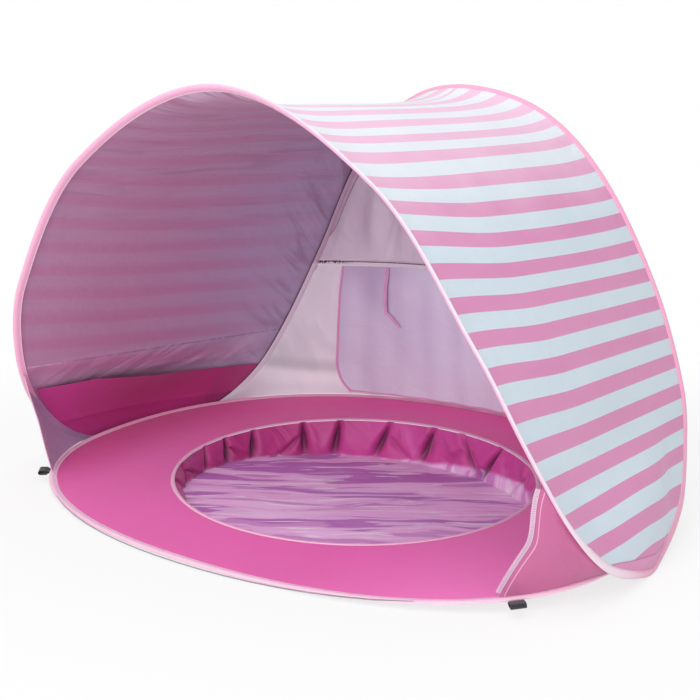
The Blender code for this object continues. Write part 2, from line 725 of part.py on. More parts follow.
def wall_rows(rows):
    """The whole back wall from its right tip to its left tip."""
    span = CANOPY.length - WALL_START_AT
    arch = rear_places(WALL_START_AT, CANOPY.length)
    start = floor_place_right(WALL_START_Y, False)
    foot = [start + (FLOOR.length - start) * (p - WALL_START_AT) / span for p in arch]
    right = tie_rows(arch, foot, rows)
    return [row + [mirrored(p) for p in row[:-1]][::-1] for row in right]


def open_hole(shape, half_width, bottom, top):
    """Takes the faces of a rectangle out of a sheet."""
    for point, normal in (right_of(-half_width), left_of(half_width), above(bottom), below(top)):
        everything = shape.verts[:] + shape.edges[:] + shape.faces[:]
        bmesh.ops.bisect_plane(shape, geom=everything, dist=MERGE_REACH, plane_co=point,
                               plane_no=normal)
    inside = []
    for face in shape.faces:
        middle = face.calc_center_median()
        if abs(middle.x) < half_width and bottom < middle.z < top:
            inside.append(face)
    bmesh.ops.delete(shape, geom=inside, context="FACES")


def cut_sheet(name, rows, planes, thickness, finish, fold=None, hole=None):
    """The part of a sheet inside planes of (point, outward normal), with an upright hole."""
    vertices = [p.copy() for row in rows for p in row]
    made = add_object(name, vertices, grid_faces(len(rows), len(rows[0])), finish)
    shape = bmesh.new()
    shape.from_mesh(made.data)
    for point, normal in planes:
        everything = shape.verts[:] + shape.edges[:] + shape.faces[:]
        bmesh.ops.bisect_plane(shape, geom=everything, dist=MERGE_REACH, plane_co=point,
                               plane_no=normal, clear_outer=True)
    if hole is not None:
        open_hole(shape, *hole)
    if fold is not None:
        for vertex in shape.verts:
            vertex.co.y += fold(vertex.co.x, vertex.co.z)
    shape.to_mesh(made.data)
    shape.free()
    return thicken(made, thickness)


def above(height):
    return Vector((0.0, 0.0, height)), Vector((0.0, 0.0, -1.0))


def below(height):
    return Vector((0.0, 0.0, height)), Vector((0.0, 0.0, 1.0))


def right_of(x):
    return Vector((x, 0.0, 0.0)), Vector((-1.0, 0.0, 0.0))


def left_of(x):
    return Vector((x, 0.0, 0.0)), Vector((1.0, 0.0, 0.0))


def make_back_wall(finish):
    half_tape = SEAM_TAPE_WIDTH / 2
    rows = wall_rows(WALL_ROWS)
    cut_sheet("back_wall_upper", rows, [above(SEAM_HEIGHT + half_tape + SEW_GAP)], CLOTH,
              finish["wall"])
    cut_sheet("back_wall_lower", rows, [below(SEAM_HEIGHT - half_tape - SEW_GAP)], CLOTH,
              finish["wall"], hole=(WINDOW_HALF_WIDTH, WINDOW_BOTTOM, WINDOW_TOP))
    cut_sheet("back_seam_tape", rows,
              [above(SEAM_HEIGHT - half_tape), below(SEAM_HEIGHT + half_tape)],
              SEAM_TAPE_THICKNESS, finish["binding"])
    cut_sheet("window_net", rows,
              [right_of(-WINDOW_HALF_WIDTH + SEW_GAP), left_of(WINDOW_HALF_WIDTH - SEW_GAP),
               above(WINDOW_BOTTOM + SEW_GAP), below(WINDOW_TOP - SEW_GAP)],
              NET_THICKNESS, finish["net"])


def flap_distance(z):
    """How far the flap's middle is from the wall's, without its folds."""
    leaves = min(1.0, (FLAP_TOP - z) / FLAP_FOLD_EASE)
    hangs = (FLAP_TOP - z) / (FLAP_TOP - FLAP_BOTTOM)
    return FLAP_SEAT + (FLAP_OFFSET - FLAP_SEAT) * leaves + FLAP_FOOT_LEAVES * hangs


def flap_shift(x, z):
    """The way in y from the wall's middle to the flap's, with its soft upright folds."""
    leaves = min(1.0, (FLAP_TOP - z) / FLAP_FOLD_EASE)
    wave = FLAP_FOLD_DEPTH * math.sin(math.pi * FLAP_FOLDS * x / FLAP_HALF_WIDTH)
    return wave * leaves - flap_distance(z)


def wall_y(rows, x, z):
    """The y of the back wall's middle at a place, read off its nearest point."""
    nearest = min((p for row in rows for p in row), key=lambda p: (p.x - x) ** 2 + (p.z - z) ** 2)
    return nearest.y


def flap_hinge():
    """A level line along the flap's top edge; this is its middle."""
    y = wall_y(wall_rows(FINE_WALL_ROWS), 0.0, FLAP_TOP) - FLAP_SEAT
    return Vector((0.0, y, FLAP_TOP))


def make_flap(finish):
    rows = wall_rows(WALL_ROWS)
    edge = FLAP_HALF_WIDTH
    hinge = flap_hinge()
    flap = cut_sheet("window_flap", rows, [right_of(-edge), left_of(edge), above(FLAP_BOTTOM),
                                           below(FLAP_TOP)],
                     CLOTH, finish["flap"], flap_shift)
    turns_about(flap, hinge)
    near = CLOTH / 2 + GAP
    far = near + FLAP_BINDING_WIDTH
    sides = {
        "flap_binding_left": [right_of(-edge - far), left_of(-edge - near), above(FLAP_BOTTOM),
                              below(FLAP_TOP)],
        "flap_binding_right": [right_of(edge + near), left_of(edge + far), above(FLAP_BOTTOM),
                               below(FLAP_TOP)],
        "flap_binding_bottom": [right_of(-edge - far), left_of(edge + far),
                                above(FLAP_BOTTOM - far), below(FLAP_BOTTOM - near)],
    }
    for name, planes in sides.items():
        band = cut_sheet(name, rows, planes, FLAP_BINDING_THICKNESS, finish["binding"],
                         flap_shift)
        turns_about(band, hinge)


def ribbon_rows(side):
    """Each of a ribbon's two tails, as rows of an outer and an inner point at (x, z)."""
    middle = side * (FLAP_HALF_WIDTH - TIE_FROM_SIDE)
    half = TIE_WIDTH / 2
    tails = []
    for lean, length in ((1, TIE_LENGTH), (-1, TIE_LENGTH - TIE_SHORTER)):
        tail = [(middle + lean * half, middle, 0.0), (middle + lean * half, middle, TIE_KNOT)]
        for step in range(1, TIE_STEPS + 1):
            share = step / TIE_STEPS
            centre = middle + lean * (half / 2 + (TIE_SPREAD / 2 - half / 2) * share)
            wide = (half + half * share) / 2
            drop = TIE_KNOT + (length - TIE_KNOT) * share
            tail.append((centre + lean * wide, centre - lean * wide, drop))
        tails.append([((outer, FLAP_TOP - drop), (inner, FLAP_TOP - drop))
                      for outer, inner, drop in tail])
    return tails


def make_ties(finish):
    """A ribbon with two tails on each side, in front of the flap."""
    hinge = flap_hinge()
    wall = wall_rows(FINE_WALL_ROWS)
    beside = CLOTH / 2 + TIE_THICKNESS / 2 + 2 * GAP
    for side, word in ((1, "right"), (-1, "left")):
        vertices = []
        faces = []
        for tail in ribbon_rows(side):
            start = len(vertices)
            for row in tail:
                for x, z in row:
                    leaves = min(1.0, (FLAP_TOP - z) / FLAP_FOLD_EASE)
                    front = flap_distance(z) + FLAP_FOLD_DEPTH * leaves + beside
                    vertices.append(Vector((x, wall_y(wall, x, z) - front, z)))
            for r in range(len(tail) - 1):
                low = start + 2 * r
                faces.append((low, low + 1, low + 3, low + 2))
        tie = add_object(f"flap_tie_{word}", vertices, faces, finish["ribbon"])
        shape = bmesh.new()
        shape.from_mesh(tie.data)
        bmesh.ops.remove_doubles(shape, verts=shape.verts, dist=MERGE_REACH)
        bmesh.ops.recalc_face_normals(shape, faces=shape.faces)
        shape.to_mesh(tie.data)
        shape.free()
        thicken(turns_about(tie, hinge), TIE_THICKNESS)


# Peg loops

def peg_place(rear):
    """Distance along the floor hoop of a loop on the right side, at a whole step of the hoop."""
    if rear:
        place = FLOOR.find(PEG_REAR_X, 0, FLOOR.length - FLOOR_QUARTER, FLOOR.length)
    else:
        place = floor_place_right(PEG_FRONT_Y, True)
    step = FLOOR.length / FLOOR_STEPS
    return round(place / step) * step


def peg_seat(rear):
    """The loop's seam, the way it points out level, and square to both, on the right side."""
    centre, across, up = floor_station(peg_place(rear))
    flat = math.cos(math.radians(PEG_SEAM_ANGLE))
    deep = math.sin(math.radians(PEG_SEAM_ANGLE))
    on_surface = Vector((flat * BINDING_WIDTH / 2, -deep * BINDING_THICKNESS / 2))
    away = Vector((flat / BINDING_WIDTH, -deep / BINDING_THICKNESS)).normalized()
    seam = on_surface + away * (PEG_STRAP + GAP)
    outward = Vector((-across.x, -across.y, 0.0)).normalized()
    beside = outward.cross(across.cross(up)).normalized()
    if beside.z < 0:
        beside = -beside
    return centre - across * seam.x + up * seam.y, outward, beside


def loop_outline(inset):
    """The strap's outer line, or with an inset its inner one, as (along, beside)."""
    radius = PEG_HEIGHT / 2 - inset
    if inset:
        points = [(PEG_PART, -PEG_PART_GAP), (PEG_THROAT, -radius)]
    else:
        points = [(0.0, -PEG_STRAP), (PEG_THROAT, -radius)]
    centre = PEG_LENGTH - PEG_HEIGHT / 2
    for k in range(PEG_ARC_STEPS + 1):
        angle = math.pi * (k / PEG_ARC_STEPS - 0.5)
        points.append((centre + radius * math.cos(angle), radius * math.sin(angle)))
    points.extend((a, -b) for a, b in (points[1], points[0]))
    return points


def make_peg_loop(name, hinge, along, beside, finish):
    """A strap folded in two whose ends are sewn together at the hinge."""
    sideways = along.cross(beside).normalized()
    outer = loop_outline(0.0)
    inner = loop_outline(PEG_STRAP)
    count = len(outer)
    vertices = []
    for across in (-PEG_WIDTH / 2, PEG_WIDTH / 2):
        for a, b in outer + inner:
            vertices.append(hinge + sideways * across + along * a + beside * b)
    faces = []
    for k in range(count):
        n = (k + 1) % count
        faces.append((k, n, 2 * count + n, 2 * count + k))
        faces.append((count + k, 3 * count + k, 3 * count + n, count + n))
        faces.append((k, count + k, count + n, n))
        faces.append((2 * count + k, 2 * count + n, 3 * count + n, 3 * count + k))
    return turns_about(add_object(name, vertices, faces, finish["webbing"]), hinge)


def make_peg_loops(finish):
    """The front loops stand out level over the ground, and the rear ones hang."""
    for word, turn in (("right", lambda v: v), ("left", mirrored)):
        seam, outward, beside = (turn(v) for v in peg_seat(False))
        make_peg_loop(f"peg_loop_front_{word}", seam, outward, beside, finish)
        print("front", word, "loop seam", tuple(seam), "axis", tuple(outward.cross(beside)))
        seam, outward, beside = (turn(v) for v in peg_seat(True))
        make_peg_loop(f"peg_loop_rear_{word}", seam, -beside, outward, finish)
        print("rear", word, "loop seam", tuple(seam), "axis", tuple(outward.cross(beside)))


def main():
    for old in list(bpy.data.objects):
        bpy.data.objects.remove(old, do_unlink=True)
    finish = finishes()
    make_canopy_hoop(finish)
    make_floor_hoop(finish)
    make_canopy(finish)
    make_pockets(finish)
    make_floor(finish)
    make_pool(finish)
    make_gussets(finish)
    make_back_wall(finish)
    make_flap(finish)
    make_ties(finish)
    make_peg_loops(finish)
    print("front arch hinge", tuple(PIVOT), "flap hinge", tuple(flap_hinge()))
    print("canopy hoop length", 2 * CANOPY.length, "floor hoop length", FLOOR.length)


main()
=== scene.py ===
# %% [markdown]
# # A pop-up play tent with a paddling pool
# The tent is sewn from thin polyester round two spring hoops. One hoop is bent into the arched
# canopy, the other lies in the floor and holds the pool's bag. Nearly everything that shows is
# cloth, so nearly every piece here is a flat grid that is laid over a curve, wrinkled and given
# its thickness. The floor hoop's steel wire and both ferrules come with the frame.

# %% The frame, and the box that the part fills
import functools
import math

import bpy
import numpy as np
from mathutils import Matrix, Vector, noise
from mathutils.bvhtree import BVHTree
from mathutils.geometry import interpolate_bezier
from mathutils.kdtree import KDTree


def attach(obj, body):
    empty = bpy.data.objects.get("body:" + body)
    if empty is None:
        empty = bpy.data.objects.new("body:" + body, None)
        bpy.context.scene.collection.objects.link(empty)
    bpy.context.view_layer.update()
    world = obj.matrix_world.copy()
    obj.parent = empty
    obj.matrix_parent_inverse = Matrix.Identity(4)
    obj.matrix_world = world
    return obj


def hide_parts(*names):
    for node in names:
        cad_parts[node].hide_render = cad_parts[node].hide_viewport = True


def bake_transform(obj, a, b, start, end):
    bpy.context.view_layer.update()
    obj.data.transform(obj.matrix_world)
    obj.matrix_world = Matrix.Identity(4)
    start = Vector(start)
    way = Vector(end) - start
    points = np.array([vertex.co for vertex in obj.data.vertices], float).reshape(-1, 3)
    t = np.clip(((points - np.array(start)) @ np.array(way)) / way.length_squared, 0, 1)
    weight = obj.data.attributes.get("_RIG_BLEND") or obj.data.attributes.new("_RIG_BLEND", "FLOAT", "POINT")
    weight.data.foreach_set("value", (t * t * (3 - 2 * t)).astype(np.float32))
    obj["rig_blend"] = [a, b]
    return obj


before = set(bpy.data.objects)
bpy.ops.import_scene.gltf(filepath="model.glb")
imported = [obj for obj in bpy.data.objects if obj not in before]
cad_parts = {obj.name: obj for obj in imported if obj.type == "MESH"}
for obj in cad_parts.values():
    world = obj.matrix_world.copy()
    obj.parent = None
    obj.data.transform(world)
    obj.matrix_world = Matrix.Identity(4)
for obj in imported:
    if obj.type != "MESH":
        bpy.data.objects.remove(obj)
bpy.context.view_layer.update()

# %% [markdown]
# ## Camera
# The photograph looks down a little on the tent's front right corner with a long lens, so the
# camera stands off and its lines run nearly parallel.

# %% Camera
CAMERA_PLACE = (1.4708, -1.7787, 0.7358)
CAMERA_AZIMUTH = 39.396
CAMERA_ELEVATION = 11.467
CAMERA_LENS = 71.98

bpy.ops.object.select_all(action="DESELECT")
bpy.ops.object.camera_add(location=CAMERA_PLACE,
                          rotation=(math.radians(90 - CAMERA_ELEVATION), 0.0, math.radians(CAMERA_AZIMUTH)))
camera = bpy.context.active_object
camera.data.lens = CAMERA_LENS
scene = bpy.context.scene
scene.camera = camera

# %% [markdown]
# ## Nodes written as sums
# A material is easier to read as arithmetic than as a list of nodes. A Signal wraps one output
# socket, and adding or multiplying signals puts the Math nodes in. A Finish is one material, and
# its add method makes every other kind of node.

# %% Signal and Finish
class Signal:
    """A value that varies over a surface."""

    def __init__(self, finish, socket):
        self.finish = finish
        self.socket = socket

    def math(self, operation, *values):
        sockets = dict(enumerate(values))
        return self.finish.add("ShaderNodeMath", {"operation": operation}, sockets)

    def __add__(self, other):
        return self.math("ADD", self, other)

    def __sub__(self, other):
        return self.math("SUBTRACT", self, other)

    def __rsub__(self, other):
        return self.math("SUBTRACT", other, self)

    def __mul__(self, other):
        return self.math("MULTIPLY", self, other)

    def __truediv__(self, other):
        return self.math("DIVIDE", self, other)

    __radd__ = __add__
    __rmul__ = __mul__

    def power(self, exponent):
        return self.math("POWER", self, exponent)

    def wave(self):
        return self.math("SINE", self)

    def size(self):
        return self.math("ABSOLUTE", self)

    def part(self):
        """What is left after the whole number, from 0 to 1."""
        return self.math("FRACT", self)

    def larger(self, other):
        return self.math("MAXIMUM", self, other)

    def rise(self, low, high):
        """0 below low, 1 above high, and a smooth step between them."""
        sockets = {"Value": self, "From Min": low, "From Max": high}
        return self.finish.add("ShaderNodeMapRange", {"interpolation_type": "SMOOTHSTEP"}, sockets)

    def band(self, middle, half, soft):
        """1 within half of the middle, with soft edges."""
        away = (self - middle).size()
        return 1 - away.rise(half - soft, half + soft)

    def weave(self, other, threads):
        """Waves that cross, as the threads of plain cloth do."""
        return (self * threads).wave() * (other * threads).wave()

    def dashes(self, pitch, half=0.36, soft=0.06):
        """1 on each stitch of a row that is sewn this way."""
        return (self / pitch).part().band(0.5, half, soft)


class Finish:
    """One material."""

    def __init__(self, name, roughness=0.7, sheen=0.25, specular=0.35, metallic=0.0):
        self.material = bpy.data.materials.new(name)
        self.material.use_nodes = True
        self.tree = self.material.node_tree
        self.shader = self.tree.nodes["Principled BSDF"]
        constants = {"Roughness": roughness, "Sheen Weight": sheen, "Sheen Roughness": 0.45,
                     "Specular IOR Level": specular, "Metallic": metallic}
        for socket, value in constants.items():
            self.shader.inputs[socket].default_value = value

    def add(self, kind, settings, sockets, output=0):
        node = self.tree.nodes.new(kind)
        for name, value in settings.items():
            setattr(node, name, value)
        for name, value in sockets.items():
            self.join(node.inputs[name], value)
        return Signal(self, node.outputs[output])

    def join(self, socket, value):
        if isinstance(value, Signal):
            self.tree.links.new(value.socket, socket)
        elif isinstance(value, tuple) and len(value) == 3 and socket.type == "RGBA":
            socket.default_value = (*value, 1.0)
        else:
            socket.default_value = value

    def place(self):
        """The place on the cloth in metres, from the piece's own UV map."""
        return self.add("ShaderNodeTexCoord", {}, {}, "UV")

    def cloth(self):
        """Metres across and along the cloth."""
        return self.split(self.place())

    def solid(self):
        """The place in metres, for pieces with no UV map."""
        return self.add("ShaderNodeTexCoord", {}, {}, "Object")

    def split(self, place):
        x = self.add("ShaderNodeSeparateXYZ", {}, {"Vector": place}, "X")
        y = self.add("ShaderNodeSeparateXYZ", {}, {"Vector": place}, "Y")
        return x, y

    def height(self):
        """Metres above the ground."""
        return self.add("ShaderNodeSeparateXYZ", {}, {"Vector": self.solid()}, "Z")

    def second(self):
        """The two values of the piece's second UV map."""
        return self.split(self.add("ShaderNodeUVMap", {"uv_map": "second"}, {}))

    def vector(self, x, y, z=0.0):
        return self.add("ShaderNodeCombineXYZ", {}, {"X": x, "Y": y, "Z": z})

    def cloud(self, place, scale, detail=3.0, distortion=0.0):
        """Soft noise round 0.5."""
        sockets = {"Vector": place, "Scale": scale, "Detail": detail, "Distortion": distortion}
        return self.add("ShaderNodeTexNoise", {}, sockets, "Fac")

    def streaks(self, x, y, z=0.0, detail=2.0, distortion=0.0):
        """Soft noise over values that are scaled already, so that it can be drawn out or slanted."""
        return self.cloud(self.vector(x, y, z), 1.0, detail, distortion)

    def mix(self, factor, first, second):
        """A colour from the first, where the factor is 0, to the second, where it is 1."""
        sockets = {0: factor, 6: first, 7: second}
        return self.add("ShaderNodeMix", {"data_type": "RGBA"}, sockets, 2)

    def bump(self, height, distance):
        return self.add("ShaderNodeBump", {}, {"Height": height, "Distance": distance})

    def paint(self, colour, height=None, distance=0.001, **varying):
        self.join(self.shader.inputs["Base Color"], colour)
        if height is not None:
            self.join(self.shader.inputs["Normal"], self.bump(height, distance))
        for name, value in varying.items():
            self.join(self.shader.inputs[name], value)
        return self.material


def darker(colour, share):
    return tuple(channel * share for channel in colour)


# %% [markdown]
# ## Floor and light
# A white dome lights the tent evenly and shows as the white background. One broad lamp above
# the front gives the roof its brighter top, and a lower one reaches into the tent. The floor is
# pale enough to melt into the white while it keeps the tent's soft shadow.

# %% Floor, world and lamps
DOME = 0.66
WHITE = (1.0, 1.0, 1.0)
GROUND_SIZE = 60.0
GROUND_BELOW = 0.0002
GROUND_GREY = 0.86
GLOW_NEAR = 0.78
GLOW_GROWS = (0.8, 1.5)

scene.view_settings.view_transform = "Standard"

bpy.ops.object.select_all(action="DESELECT")
bpy.ops.mesh.primitive_plane_add(size=GROUND_SIZE)
ground = bpy.context.active_object
ground.name = "ground"
ground.location.z = -GROUND_BELOW
pale = Finish("pale_ground", roughness=0.9, sheen=0.0, specular=0.1)
lit = pale.add("ShaderNodeLightPath", {}, {}, "Is Camera Ray")
far = pale.add("ShaderNodeVectorMath", {"operation": "LENGTH"}, {0: pale.solid()}, "Value")
share = far.rise(*GLOW_GROWS) * (1 - GLOW_NEAR) + GLOW_NEAR
pale.join(pale.shader.inputs["Base Color"], (GROUND_GREY, GROUND_GREY, GROUND_GREY))
glow = pale.add("ShaderNodeEmission", {}, {"Color": WHITE, "Strength": 1.0})
pale_mix = pale.add("ShaderNodeMixShader", {}, {0: lit * share, 2: glow})
pale.tree.links.new(pale.shader.outputs["BSDF"], pale_mix.socket.node.inputs[1])
output = pale.tree.nodes["Material Output"]
pale.tree.links.new(pale_mix.socket, output.inputs["Surface"])
ground.data.materials.append(pale.material)

world = bpy.data.worlds.new("white_dome")
scene.world = world
world.use_nodes = True
sky = world.node_tree
seen = sky.nodes.new("ShaderNodeLightPath")
either = sky.nodes.new("ShaderNodeMath")
either.operation = "MAXIMUM"
sky.links.new(seen.outputs["Is Camera Ray"], either.inputs[0])
sky.links.new(seen.outputs["Is Transmission Ray"], either.inputs[1])
strength = sky.nodes.new("ShaderNodeMapRange")
strength.inputs["To Min"].default_value = DOME
strength.inputs["To Max"].default_value = 1.0
sky.links.new(either.outputs[0], strength.inputs["Value"])
sky.nodes["Background"].inputs["Color"].default_value = (*WHITE, 1.0)
sky.links.new(strength.outputs[0], sky.nodes["Background"].inputs["Strength"])


def area_lamp(location, aim_height, power, size):
    """A square lamp that shines at a point above the tent's middle."""
    bpy.ops.object.light_add(type="AREA", location=location)
    lamp = bpy.context.active_object
    lamp.data.energy = power
    lamp.data.size = size
    aim = Vector((0.0, 0.0, aim_height)) - lamp.location
    lamp.rotation_euler = aim.to_track_quat("-Z", "Y").to_euler()


area_lamp((0.5, -1.3, 3.0), aim_height=0.3, power=40.0, size=2.6)
area_lamp((1.0, -3.0, 1.1), aim_height=0.2, power=42.0, size=2.2)

# %% [markdown]
# ## The canopy hoop
# The hoop is one closed ring of spring wire in a folded binding. Its right half is drawn through
# fifteen points, from the front arch's top, round the tip that stands on the ground, to the
# rear arch's top, and the left half mirrors it. A Path reads such a curve by its length.

# %% The hoop's curve
HOOP_POINTS = [(0.0, -0.305, 0.704), (0.300, -0.311, 0.581), (0.470, -0.301, 0.369),
               (0.531, -0.269, 0.240), (0.565, -0.211, 0.129), (0.578, -0.125, 0.050),
               (0.574, -0.018, 0.012), (0.565, 0.041, 0.007), (0.521, 0.206, 0.048),
               (0.483, 0.291, 0.114), (0.446, 0.342, 0.208), (0.370, 0.371, 0.373),
               (0.264, 0.361, 0.556), (0.149, 0.343, 0.660), (0.0, 0.317, 0.697)]
SAMPLES = 40
BINDING_WIDTH = 0.014
BINDING_THICKNESS = 0.007
GAP = 0.0003
MM = 0.001
TANGENT_REACH = 0.004
FIND_PLACES = 2001


class Path:
    """A curve that is read by its length from its start."""

    def __init__(self, points):
        self.points = np.array([tuple(p) for p in points])
        runs = np.linalg.norm(np.diff(self.points, axis=0), axis=1)
        self.marks = np.concatenate(([0.0], np.cumsum(runs)))
        self.length = float(self.marks[-1])

    def at(self, distance):
        return Vector([float(np.interp(distance, self.marks, self.points[:, k])) for k in range(3)])

    def tangent(self, distance):
        low = max(0.0, distance - TANGENT_REACH)
        high = min(self.length, distance + TANGENT_REACH)
        return (self.at(high) - self.at(low)).normalized()

    def find(self, value, axis, start, end):
        """The distance between start and end where a coordinate takes the value."""
        places = np.linspace(start, end, FIND_PLACES)
        values = np.interp(places, self.marks, self.points[:, axis])
        return float(places[np.argmin(np.abs(values - value))])


def smooth_loop(points, steps):
    """A closed smooth curve through points."""
    count = len(points)
    slopes = [(points[(i + 1) % count] - points[i - 1]).normalized() for i in range(count)]
    curve = []
    for i in range(count):
        low, high = points[i], points[(i + 1) % count]
        reach = (high - low).length / 3
        curve.extend(interpolate_bezier(low, low + slopes[i] * reach,
                                        high - slopes[(i + 1) % count] * reach, high, steps + 1)[:-1])
    return curve


def mirrored(vector):
    """The same place or direction on the tent's left side."""
    return Vector((-vector.x, vector.y, vector.z))


SIDES = {"right": lambda vector: vector, "left": mirrored}


half_hoop = [Vector(p) for p in HOOP_POINTS]
hoop = smooth_loop(half_hoop + [mirrored(p) for p in reversed(half_hoop[1:-1])], SAMPLES)
stand = Vector((0.0, 0.0, BINDING_WIDTH / 2 - min(p.z for p in hoop)))
CANOPY = Path([p + stand for p in hoop[:(len(half_hoop) - 1) * SAMPLES + 1]])
TIP_AT = float(CANOPY.marks[np.argmin(CANOPY.points[:, 2])])
print("canopy hoop", round(2 * CANOPY.length, 3), "m")

# %% [markdown]
# ## The floor hoop
# The second hoop is a flattened oval that rises towards the back, where the wall holds it up.
# Its front half is shallower than its rear half, and the oval pool opening lies inside it.

# %% The floor hoop's curve and the pool's opening
TIP_CLEARANCE = 0.013
FLOOR_HALF_WIDTH = HOOP_POINTS[6][0] - TIP_CLEARANCE
FLOOR_FRONT_REACH = 0.332
FLOOR_REAR_REACH = 0.448
FLOOR_WIDEST_Y = -0.050
FLOOR_FRONT_SQUARENESS = 2.26
FLOOR_REAR_SQUARENESS = 2.15
FLOOR_FRONT_HEIGHT = BINDING_THICKNESS / 2 + GAP
FLOOR_REAR_HEIGHT = 0.088
FLOOR_SLOPE = (FLOOR_REAR_HEIGHT - FLOOR_FRONT_HEIGHT) / (FLOOR_FRONT_REACH + FLOOR_REAR_REACH)
FLOOR_NORMAL = Vector((0.0, -FLOOR_SLOPE, 1.0)).normalized()
POOL_HALF_WIDTH = 0.338
POOL_HALF_DEPTH = 0.2686
POOL_CENTRE_Y = 0.013
FLAT_TOP = 0.004
SEW_GAP = 0.0008


def floor_height(y):
    return FLOOR_FRONT_HEIGHT + FLOOR_SLOPE * (y - FLOOR_WIDEST_Y + FLOOR_FRONT_REACH)


def floor_point(angle):
    cosine, sine = math.cos(angle), math.sin(angle)
    power = 2 / (FLOOR_REAR_SQUARENESS if sine > 0 else FLOOR_FRONT_SQUARENESS)
    reach = FLOOR_REAR_REACH if sine > 0 else FLOOR_FRONT_REACH
    x = FLOOR_HALF_WIDTH * math.copysign(abs(cosine) ** power, cosine)
    y = FLOOR_WIDEST_Y + reach * math.copysign(abs(sine) ** power, sine)
    return Vector((x, y, floor_height(y)))


def pool_point(angle, inset=0.0):
    x = (POOL_HALF_WIDTH - inset) * math.cos(angle)
    y = POOL_CENTRE_Y + (POOL_HALF_DEPTH - inset) * math.sin(angle)
    return Vector((x, y, floor_height(y)))


def floor_side_x(y):
    """Half the floor ring's width at this y."""
    rear = y > FLOOR_WIDEST_Y
    reach = FLOOR_REAR_REACH if rear else FLOOR_FRONT_REACH
    squareness = FLOOR_REAR_SQUARENESS if rear else FLOOR_FRONT_SQUARENESS
    ratio = min(1.0, abs(y - FLOOR_WIDEST_Y) / reach)
    return FLOOR_HALF_WIDTH * (1 - ratio ** squareness) ** (1 / squareness)


FLOOR_POINTS = 1440
FLOOR = Path([floor_point(math.pi / 2 + 2 * math.pi * i / FLOOR_POINTS) for i in range(FLOOR_POINTS + 1)])
FLOOR_QUARTER = FLOOR.find(-FLOOR_HALF_WIDTH, 0, 0.0, FLOOR.length / 2)


def floor_place_right(y, front):
    """Distance along the floor hoop of the point on the right side with this y."""
    start = FLOOR.length - FLOOR_QUARTER
    if front:
        return FLOOR.find(y, 1, FLOOR.length / 2, start)
    return FLOOR.find(y, 1, start, FLOOR.length)


@functools.lru_cache(maxsize=None)
def floor_station(distance):
    """The floor binding's middle, the way into the floor, and the way up."""
    tangent = FLOOR.tangent(distance)
    if distance < FLAT_TOP or distance > FLOOR.length - FLAT_TOP:
        tangent = Vector((-1.0, 0.0, 0.0))
    return FLOOR.at(distance), FLOOR_NORMAL.cross(tangent).normalized(), FLOOR_NORMAL


# %% [markdown]
# ## How the canopy hangs between its two arches
# A line of cloth runs from a place on the front arch to the place on the rear arch that is as far
# up from the tip. The ridge sags between the arches' tops, and the floor hoop holds the tips out.

# %% The canopy's surface
CLOTH = 0.0010
CANOPY_SAG = 0.026
SAG_POWER = 6.0
SAG_STARTS = 0.45
LOOK_IN = 0.12
PUSH_TOP = 0.200
PUSH_AT_GROUND = 0.3
PUSH_EASE = 0.22
PUSH_SOFT = 0.012
CLOTH_FROM_WIRE = 0.0036
LINE_PLACES = 401
UP = Vector((0.0, 0.0, 1.0))


def front_at(share):
    """Distance along the hoop of a line's front end; 0 is at the tip, 1 at the top."""
    return TIP_AT * (1 - share)


def rear_at(share):
    return TIP_AT + (CANOPY.length - TIP_AT) * share


def canopy_tangent(distance):
    if distance < FLAT_TOP:
        return Vector((1.0, 0.0, 0.0))
    if distance > CANOPY.length - FLAT_TOP:
        return Vector((-1.0, 0.0, 0.0))
    return CANOPY.tangent(distance)


def sag_ease(share):
    return max(0.0, (share - SAG_STARTS) / (1 - SAG_STARTS)) ** 2


def clamp(share):
    return min(1.0, max(0.0, share))


def smoothstep(share):
    share = clamp(share)
    return share * share * (3 - 2 * share)


def ramp(value, low, high):
    """0 at low, 1 at high, and a smooth step between them; high may be the smaller one."""
    return smoothstep((value - low) / (high - low))


@functools.lru_cache(maxsize=None)
def canopy_inward(distance):
    """Unit vector in the cloth, square to the hoop, from the hoop into the canopy."""
    at_front = distance < TIP_AT
    share = 1 - distance / TIP_AT if at_front else (distance - TIP_AT) / (CANOPY.length - TIP_AT)
    ahead = min(1.0, share + LOOK_IN)
    middle = (CANOPY.at(front_at(ahead)) + CANOPY.at(rear_at(ahead))) / 2
    tangent = canopy_tangent(distance)
    aim = middle - CANOPY.at(distance)
    aim.z -= SAG_POWER * CANOPY_SAG * sag_ease(share)
    return (aim - tangent * aim.dot(tangent)).normalized()


@functools.lru_cache(maxsize=None)
def canopy_edge(distance):
    return CANOPY.at(distance) + canopy_inward(distance) * CLOTH_FROM_WIRE


def free_point(share, across):
    """A point on the middle of the canopy's cloth on the right side, before the floor hoop pushes."""
    front = canopy_edge(front_at(share))
    rear = canopy_edge(rear_at(share))
    point = front.lerp(rear, across)
    along = (rear - front).normalized()
    sag = CANOPY_SAG * (1 - abs(2 * across - 1) ** SAG_POWER) * sag_ease(share)
    return point - (UP - along * UP.dot(along)) * sag


def canopy_point(share, across):
    point = free_point(share, across)
    point.x += floor_push(point, min(across, 1 - across))
    return point


def floor_push(point, from_end):
    """How far the floor hoop holds the canopy's tip outwards."""
    if point.z > PUSH_TOP:
        return 0.0
    push = floor_side_x(point.y) + BINDING_WIDTH / 2 + 2 * CLOTH + 2 * SEW_GAP - point.x
    push = (push + math.hypot(push, PUSH_SOFT)) / 2
    height = floor_height(point.y)
    if point.z < height:
        share = min(1.0, point.z / height + PUSH_AT_GROUND)
    else:
        share = 1 - (point.z - height) / (PUSH_TOP - height)
    return push * smoothstep(share) * smoothstep(from_end / PUSH_EASE)


